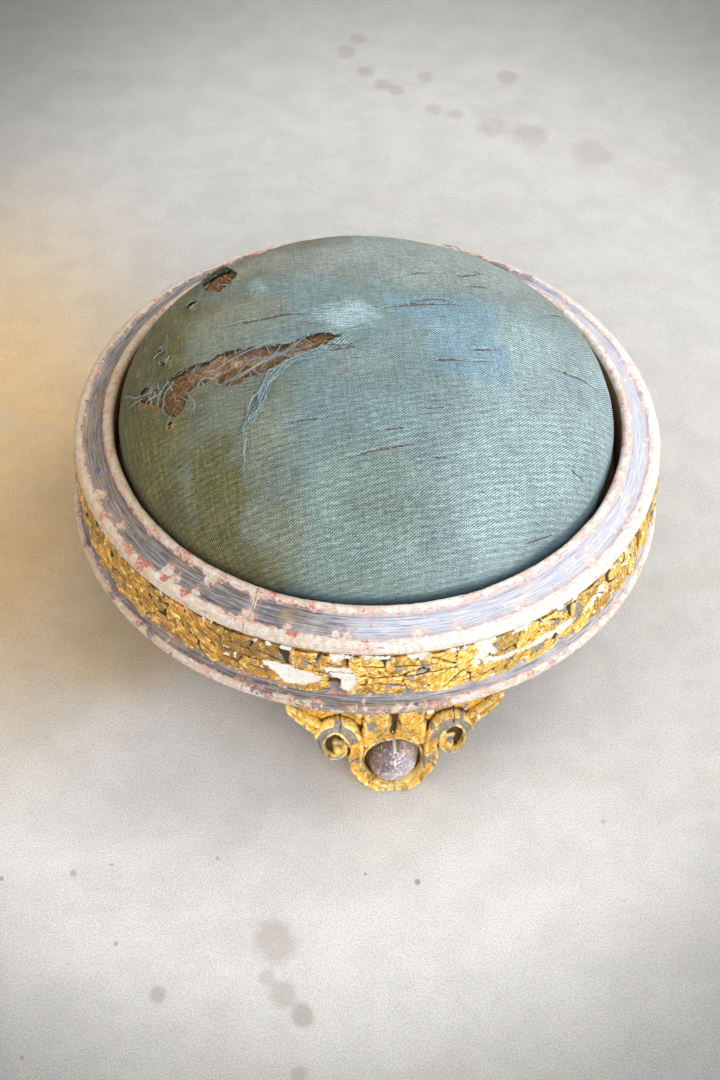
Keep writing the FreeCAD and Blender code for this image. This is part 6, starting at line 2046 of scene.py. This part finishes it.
def make_webs(settings):
    """Three webs each way, woven over and under each other."""
    paint = weave_finish("jute_webs", tuple(part * 1.1 for part in settings.jute), 2.1, 0.5)
    names = []
    for across in (True, False):
        for index in range(3):
            reach = WEB_REACHES[index]
            along = np.arange(-reach, reach + 0.01, reach / round(reach / 2.0))
            level = np.full(along.shape, -0.6 if across else 0.6)
            for other in range(3):
                over = ((index + other) % 2 == 0) == across
                centre = (other - 1) * WEB_PITCH
                near = 0.5 * WEB_WIDTH
                share = 1.0 - ease(np.abs(along - centre), near - 1.0, near + 9.0)
                level += share * ((0.64 if over else -0.64) - level)
            aside = np.linspace(-0.5 * WEB_WIDTH, 0.5 * WEB_WIDTH, 33)
            stripe = 0.10 * np.cos(aside * 2.0 * math.pi / 4.2)
            rounded = np.sqrt(np.clip(1.0 - (np.abs(aside) / 25.05) ** 24, 0, 1))
            edge = 0.5 * WEB_THICKNESS * rounded - 0.12
            run, side = np.meshgrid(along, aside, indexing="ij")
            rise = level[:, None] + WEB_LEVEL
            top, low = rise + edge + stripe, rise - edge + stripe
            points = [np.stack([run, side, top], -1), np.stack([run, side, low], -1)[:, ::-1]]
            points = np.concatenate(points, axis=1)
            rows, columns = points.shape[:2]
            offset = (index - 1) * WEB_PITCH
            if across:
                flat = points + [PAD_SHIFT, offset, 0.0]
            else:
                flat = points[..., [1, 0, 2]] + [offset + PAD_SHIFT, 0.0, 0.0]
            quads = grid_quads(rows, columns, True)
            caps = [np.arange(columns)[::-1], np.arange(columns) + (rows - 1) * columns]
            if across:
                quads, caps = quads[:, ::-1], [cap[::-1] for cap in caps]
            node = f"webbing_{'across' if across else 'along'}_{index + 1}"
            piece = build_piece("woven_" + node, flat.reshape(-1, 3), quads, caps)
            settle(piece, "pad", "jute_webbing", paint, node)
            names.append(piece.name)
    return names


# Solids that keep their shape and get a finish

def rail_finish():
    """Rough-sawn pale softwood of the pad's ring, its figure running across each quarter."""
    made = Finish("sawn_rail_wood")
    figure = made.noise(1.0, 5.0, 0.6, made.stretched((16.0, 170.0, 170.0), (0.0, 0.0, 45.0)), 0.8)
    saw = made.noise(1.0, 2.0, 0.5, made.stretched((30.0, 900.0, 900.0), (0.0, 0.0, 60.0)))
    clouds = made.noise(26.0, 3.0)
    colour = made.mix((0.30, 0.17, 0.075), (0.56, 0.37, 0.20), made.ease(figure, 0.35, 0.65))
    colour = made.shade(colour, made.ease(clouds, 0.3, 0.7, 0.72, 1.08))
    relief = figure * 0.6 + saw
    return made.finish(colour, made.ease(figure, 0.3, 0.7, 0.62, 0.82), made.bump(relief, 0.4))


def dowel_finish():
    """Close-grained hardwood of the dowels, its figure along them."""
    made = Finish("dowel_hardwood")
    figure = made.noise(1.0, 5.0, 0.6, made.stretched((260.0, 260.0, 60.0)), 0.6)
    pores = made.noise(0.6, 3.0)
    colour = made.mix((0.34, 0.20, 0.09), (0.58, 0.40, 0.21), made.ease(figure, 0.35, 0.65))
    colour = made.shade(colour, made.ease(pores, 0.3, 0.7, 0.85, 1.08))
    return made.finish(colour, made.ease(figure, 0.3, 0.7, 0.5, 0.7), made.bump(figure, 0.2))


def iron_finish():
    """Dark tack iron with rust and pits."""
    made = Finish("rusted_tack_iron")
    rust = made.noise(1.6, 4.0, 0.65)
    pits = made.noise(0.5, 3.0)
    colour = made.mix((0.055, 0.05, 0.05), (0.22, 0.085, 0.035), made.ease(rust, 0.42, 0.62))
    rough = made.ease(rust, 0.35, 0.65, 0.42, 0.85)
    metal = made.ease(rust, 0.6, 0.4, 0.1, 0.85)
    return made.finish(colour, rough, made.bump(pits, 0.15), Metallic=metal)


def dress_solids():
    """Gives rails, dowels and tacks their finishes; they keep their solids."""
    wood, dowel, iron = rail_finish(), dowel_finish(), iron_finish()
    finishes = {f"pad_rail_{index}": wood for index in range(1, 5)}
    for name in ("felloe_end_dowels", "course_dowels", "foot_dowels", "pad_rail_dowels"):
        finishes[name] = dowel
    for name in ("web_tacks", "cover_tacks"):
        finishes[name] = iron
    for name, finish in finishes.items():
        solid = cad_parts[name]
        if not solid.material_slots:
            solid.data.materials.append(finish)
        for place in solid.material_slots:
            place.material = finish


# Floor, light and camera

CAMERA_TURN = (-5.152, 0.322, 2.009)
STAINS = (
    (0.047, 0.668, 0.0112, 0.30), (0.061, 0.693, 0.0092, 0.26), (0.062, 0.630, 0.0090, 0.32),
    (0.078, 0.605, 0.0099, 0.34), (0.090, 0.594, 0.0079, 0.32), (0.122, 0.561, 0.0088, 0.26),
    (0.142, 0.551, 0.0078, 0.32), (0.176, 0.528, 0.0154, 0.30), (0.209, 0.511, 0.0182, 0.32),
    (0.262, 0.477, 0.0199, 0.30), (0.203, 0.612, 0.0110, 0.34), (0.121, 0.617, 0.0090, 0.30),
    (-0.080, -0.295, 0.0135, 0.40), (-0.086, -0.316, 0.0052, 0.34), (-0.078, -0.327, 0.0080, 0.40),
    (-0.067, -0.341, 0.0068, 0.55), (-0.149, -0.321, 0.0051, 0.50), (-0.071, -0.375, 0.0050, 0.45),
    (0.008, -0.263, 0.0017, 0.85), (-0.023, -0.255, 0.0010, 0.80), (-0.199, -0.240, 0.0021, 0.55),
    (-0.173, -0.288, 0.0014, 0.65), (-0.112, -0.237, 0.0012, 0.65), (-0.176, -0.236, 0.0010, 0.65),
    (-0.242, -0.240, 0.0014, 0.80), (-0.224, -0.352, 0.0013, 0.65), (0.129, -0.231, 0.0014, 0.55),
)
# Painted light and shade on the floor, placed in the camera's view: pale pools of light near the stool
# and in the middle, a warm patch of bounce light and shade far to the left, and a warm shadow along the
# stool's lower left. Each is across, up, width, height, colour and strength.
PAINTED_LIGHT_PATCHES = (
    (-0.62, -0.46, 0.85, 0.42, (0.84, 0.82, 0.78), 0.95),
    (0.0, -0.62, 1.2, 0.40, (0.68, 0.675, 0.66), 0.75),
    (0.0, 0.95, 1.1, 0.40, (0.66, 0.655, 0.64), 0.70),
    (-1.10, 0.16, 0.75, 0.62, (0.70, 0.485, 0.235), 0.95),
    (-0.66, -0.17, 0.30, 0.13, (0.56, 0.40, 0.20), 0.60),
)


# The photographer's view of the floor: how fast places shrink with distance and the least they
# shrink to, how far the view leans, its half width, how fast places rise in it, and its middle
SHRINK, NEAREST, LEAN, VIEW_WIDTH, VIEW_RISE, VIEW_MIDDLE = 0.6135, 0.3, 0.0957, 0.258, 1.947, 0.0269
VIEW_CORNER = (1.803, 1.202)


def floor_view(made):
    """Sideways and upward places in the photographer's view of the floor, -1 to 1."""
    x, y, _ = made.parts(made.object_place)
    depth = made.most(y * SHRINK + 1.0, NEAREST)
    aside = (x - y * LEAN) / (depth * VIEW_WIDTH)
    return aside, (y * VIEW_RISE - VIEW_MIDDLE) / depth


def far_from(made, first, second, centre, reach):
    """Distance from a centre over two fields, each as a share of its reach."""
    sides = [
        (field - middle) * (1.0 / size)
        for field, middle, size in zip((first, second), centre, reach)
    ]
    return made.math("SQRT", sides[0] * sides[0] + sides[1] * sides[1])


def floor_finish(settings):
    """Pale trowelled concrete, sandy to the eye, with clouds, specks and a few small stains, and
    painted light and shade: patches round the stool and darkening towards the corners and the top of
    the camera's view.
    """
    made = Finish("pale_concrete")
    clouds = made.noise(34.0, 6.0, 0.65)
    trowel = made.noise(1.0, 6.0, 0.65, made.stretched((6.0, 15.0, 1.0), (0.0, 0.0, 20.0)), 0.5)
    sand = made.noise(1.1, 3.0, 0.8)
    colour = settings.floor
    aside, upward = floor_view(made)
    # Painted light and shade in patches
    for across, up, wide, tall, tone, strength in PAINTED_LIGHT_PATCHES:
        away = far_from(made, aside, upward, (across, up), (wide, tall))
        colour = made.mix(colour, tone, made.ease(away, 1.1, 0.25, 0.0, strength))
    colour = made.shade(colour, made.ease(clouds, 0.36, 0.62, 1.0, 1.09))
    colour = made.mix(colour, (0.56, 0.53, 0.48), made.ease(trowel, 0.50, 0.72, 0.0, 0.36))
    colour = made.shade(colour, made.ease(sand, 0.36, 0.64, 0.82, 1.16))
    grit = made.ease(made.noise(3.0, 3.0, 0.6), 0.70, 0.75)
    colour = made.mix(colour, (0.30, 0.25, 0.19), grit * 0.5)
    tan = made.ease(made.noise(6.0, 4.0, 0.7), 0.60, 0.72)
    colour = made.mix(colour, (0.47, 0.40, 0.30), tan * 0.35)
    across, forward, _ = made.parts(made.object_place)
    rag = (made.noise(16.0, 4.0, 0.65) - 0.5) * 1.1
    for x, y, size, strength in STAINS:
        away = far_from(made, across, forward, (x, y), (size, size * 1.15))
        stain = made.ease(away + rag, 1.25, 0.55, 0.0, strength)
        colour = made.mix(colour, (0.36, 0.30, 0.265), stain)
    # Painted shade: the floor darkens towards the corners and the top of the camera's view, fading out
    # again well outside it
    corner = far_from(made, aside, upward, (0.0, 0.0), VIEW_CORNER)
    nearby = made.ease(corner, 2.2, 1.3)
    dark = made.ease(corner, 0.62, 1.05, 0.0, 0.50)
    dark = dark + made.ease(upward, 0.55, 1.05, 0.0, 0.16)
    colour = made.shade(colour, 1.0 - dark * nearby)
    relief = sand + trowel * 0.9
    return made.finish(
        colour, made.ease(clouds, 0.3, 0.7, 0.6, 0.78), made.bump(relief, 0.5),
        Specular_IOR_Level=0.25,
    )


def make_floor(settings):
    """A wide flat floor under the feet."""
    mesh = bpy.data.meshes.new("floor")
    reach = 6.0
    corners = [(x * reach, y * reach, 0.0) for x, y in ((-1, -1), (1, -1), (1, 1), (-1, 1))]
    mesh.from_pydata(corners, [], [(0, 1, 2, 3)])
    floor = bpy.data.objects.new("floor", mesh)
    bpy.context.scene.collection.objects.link(floor)
    floor.data.materials.append(floor_finish(settings))


def area_light(name, place, aim, size, power, tone):
    """A round soft light that faces one place."""
    light = bpy.data.lights.new(name, "AREA")
    light.shape, light.size, light.energy, light.color = "DISK", size, power, tone
    lamp = bpy.data.objects.new(name, light)
    lamp.location = place
    lamp.rotation_euler = (Vector(aim) - Vector(place)).to_track_quat("-Z", "Y").to_euler()
    bpy.context.scene.collection.objects.link(lamp)


def make_lights(settings):
    """Window light, two weaker lights and an even pale room."""
    target, power = (0.0, 0.0, 0.12), settings.key_power
    area_light("window_light", (1.55, 0.55, 1.70), target, 1.6, power, (1.0, 0.985, 0.96))
    area_light("front_soft", (0.5, -1.8, 1.1), target, 2.0, power * 0.86, (0.98, 0.985, 1.0))
    area_light("warm_wall", (-1.5, -0.6, 0.5), target, 1.2, power * 0.10, (1.0, 0.80, 0.55))
    world = bpy.data.worlds.new("pale_room")
    world.use_nodes = True
    backdrop = world.node_tree.nodes["Background"]
    backdrop.inputs["Color"].default_value = (0.97, 0.98, 1.0, 1.0)
    backdrop.inputs["Strength"].default_value = settings.room_light
    bpy.context.scene.world = world


def make_camera(settings):
    """The photographer's place: in front, a little to the left, looking well down."""
    side, lift = math.radians(-7.0), settings.camera_height
    target = Vector((0.0, 0.0, CREST * MM))
    ahead = Vector((
        math.cos(lift) * math.sin(side), -math.cos(lift) * math.cos(side), math.sin(lift),
    ))
    right = Vector((0.0, 0.0, 1.0)).cross(ahead).normalized()
    looking = Matrix((right, ahead.cross(right), ahead)).transposed()
    lens = bpy.data.cameras.new("photo_camera")
    lens.sensor_fit, lens.sensor_height, lens.lens = "VERTICAL", 36.0, 50.0
    camera = bpy.data.objects.new("photo_camera", lens)
    tilt = Euler(tuple(math.radians(part) for part in CAMERA_TURN), "XYZ").to_matrix()
    camera.matrix_world = Matrix.LocRotScale(
        target + ahead * settings.camera_distance, (looking @ tilt).to_quaternion(), None
    )
    bpy.context.scene.collection.objects.link(camera)
    bpy.context.scene.camera = camera


# Operators, panel and registration

class FOOTSTOOL_OT_ring(bpy.types.Operator):
    """Turn the two courses of the moulded ring, with their chipped paint"""

    bl_idname = "footstool.ring"
    bl_label = "Moulded ring"
    bl_options = {"REGISTER", "UNDO"}

    def execute(self, context):
        make_ring(context.scene.footstool_ring)
        return {"FINISHED"}


class FOOTSTOOL_OT_garland(bpy.types.Operator):
    """Carve the leaf garland in four sections"""

    bl_idname = "footstool.garland"
    bl_label = "Leaf garland"
    bl_options = {"REGISTER", "UNDO"}

    def execute(self, context):
        make_garland(context.scene.footstool_garland)
        return {"FINISHED"}


class FOOTSTOOL_OT_feet(bpy.types.Operator):
    """Carve the three scroll feet"""

    bl_idname = "footstool.feet"
    bl_label = "Scroll feet"
    bl_options = {"REGISTER", "UNDO"}

    def execute(self, context):
        make_feet(context.scene.footstool_foot, context.scene.footstool_garland)
        return {"FINISHED"}


class FOOTSTOOL_OT_webs(bpy.types.Operator):
    """Weave the webs and stretch the base cloth over them"""

    bl_idname = "footstool.webs"
    bl_label = "Webs and base cloth"
    bl_options = {"REGISTER", "UNDO"}

    def execute(self, context):
        settings = context.scene.footstool_stuffing
        webs = make_webs(settings)
        base = make_base_cloth(settings)
        return {"FINISHED"}


class FOOTSTOOL_OT_stuffing(bpy.types.Operator):
    """Fill the pad with hair and wadding, and let fibres out of the tears"""

    bl_idname = "footstool.stuffing"
    bl_label = "Stuffing"
    bl_options = {"REGISTER", "UNDO"}

    def execute(self, context):
        settings = context.scene.footstool_stuffing
        make_hair(settings)
        make_wadding(settings)
        make_fibres()
        return {"FINISHED"}


class FOOTSTOOL_OT_cover(bpy.types.Operator):
    """Stretch the worn cloth over the pad, with its tears and loose threads"""

    bl_idname = "footstool.cover"
    bl_label = "Worn cover"
    bl_options = {"REGISTER", "UNDO"}

    def execute(self, context):
        make_cover(context.scene.footstool_cloth)
        make_threads(context.scene.footstool_cloth)
        return {"FINISHED"}


class FOOTSTOOL_OT_solids(bpy.types.Operator):
    """Give the rails, dowels and tacks their finishes"""

    bl_idname = "footstool.solids"
    bl_label = "Rails, dowels and tacks"
    bl_options = {"REGISTER", "UNDO"}

    def execute(self, context):
        dress_solids()
        return {"FINISHED"}


class FOOTSTOOL_OT_stage(bpy.types.Operator):
    """Lay the floor, set the lights and place the camera"""

    bl_idname = "footstool.stage"
    bl_label = "Floor, light and camera"
    bl_options = {"REGISTER", "UNDO"}

    def execute(self, context):
        settings = context.scene.footstool_stage
        make_floor(settings)
        make_lights(settings)
        make_camera(settings)
        context.scene.view_settings.view_transform = "Standard"
        return {"FINISHED"}


STEPS = (
    FOOTSTOOL_OT_ring, FOOTSTOOL_OT_garland, FOOTSTOOL_OT_feet, FOOTSTOOL_OT_webs,
    FOOTSTOOL_OT_stuffing, FOOTSTOOL_OT_cover, FOOTSTOOL_OT_solids, FOOTSTOOL_OT_stage,
)
SETTINGS = {
    "footstool_ring": RingSettings, "footstool_garland": GarlandSettings,
    "footstool_foot": FootSettings, "footstool_cloth": ClothSettings,
    "footstool_stuffing": StuffingSettings, "footstool_stage": StageSettings,
}


class FOOTSTOOL_PT_sidebar(bpy.types.Panel):
    """All settings, and one button for each step"""

    bl_idname = "FOOTSTOOL_PT_sidebar"
    bl_label = "Giltwood footstool"
    bl_space_type = "VIEW_3D"
    bl_region_type = "UI"
    bl_category = "Footstool"

    def draw(self, context):
        for title, kind in SETTINGS.items():
            box = self.layout.box()
            group = getattr(context.scene, title)
            for name in kind.__annotations__:
                box.prop(group, name)
        for step in STEPS:
            self.layout.operator(step.bl_idname)


def register():
    """Registers settings, operators and panel."""
    for title, kind in SETTINGS.items():
        bpy.utils.register_class(kind)
        setattr(bpy.types.Scene, title, PointerProperty(type=kind))
    for kind in STEPS + (FOOTSTOOL_PT_sidebar,):
        bpy.utils.register_class(kind)


def unregister():
    """Takes panel, operators and settings out again."""
    for kind in reversed(STEPS + (FOOTSTOOL_PT_sidebar,)):
        bpy.utils.unregister_class(kind)
    for title, kind in SETTINGS.items():
        delattr(bpy.types.Scene, title)
        bpy.utils.unregister_class(kind)


def main():
    """Builds every piece in order."""
    register()
    for step in STEPS:
        family, name = step.bl_idname.split(".")
        getattr(getattr(bpy.ops, family), name)()
    bpy.context.view_layer.update()
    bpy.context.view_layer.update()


if __name__ == "__main__":
    main()
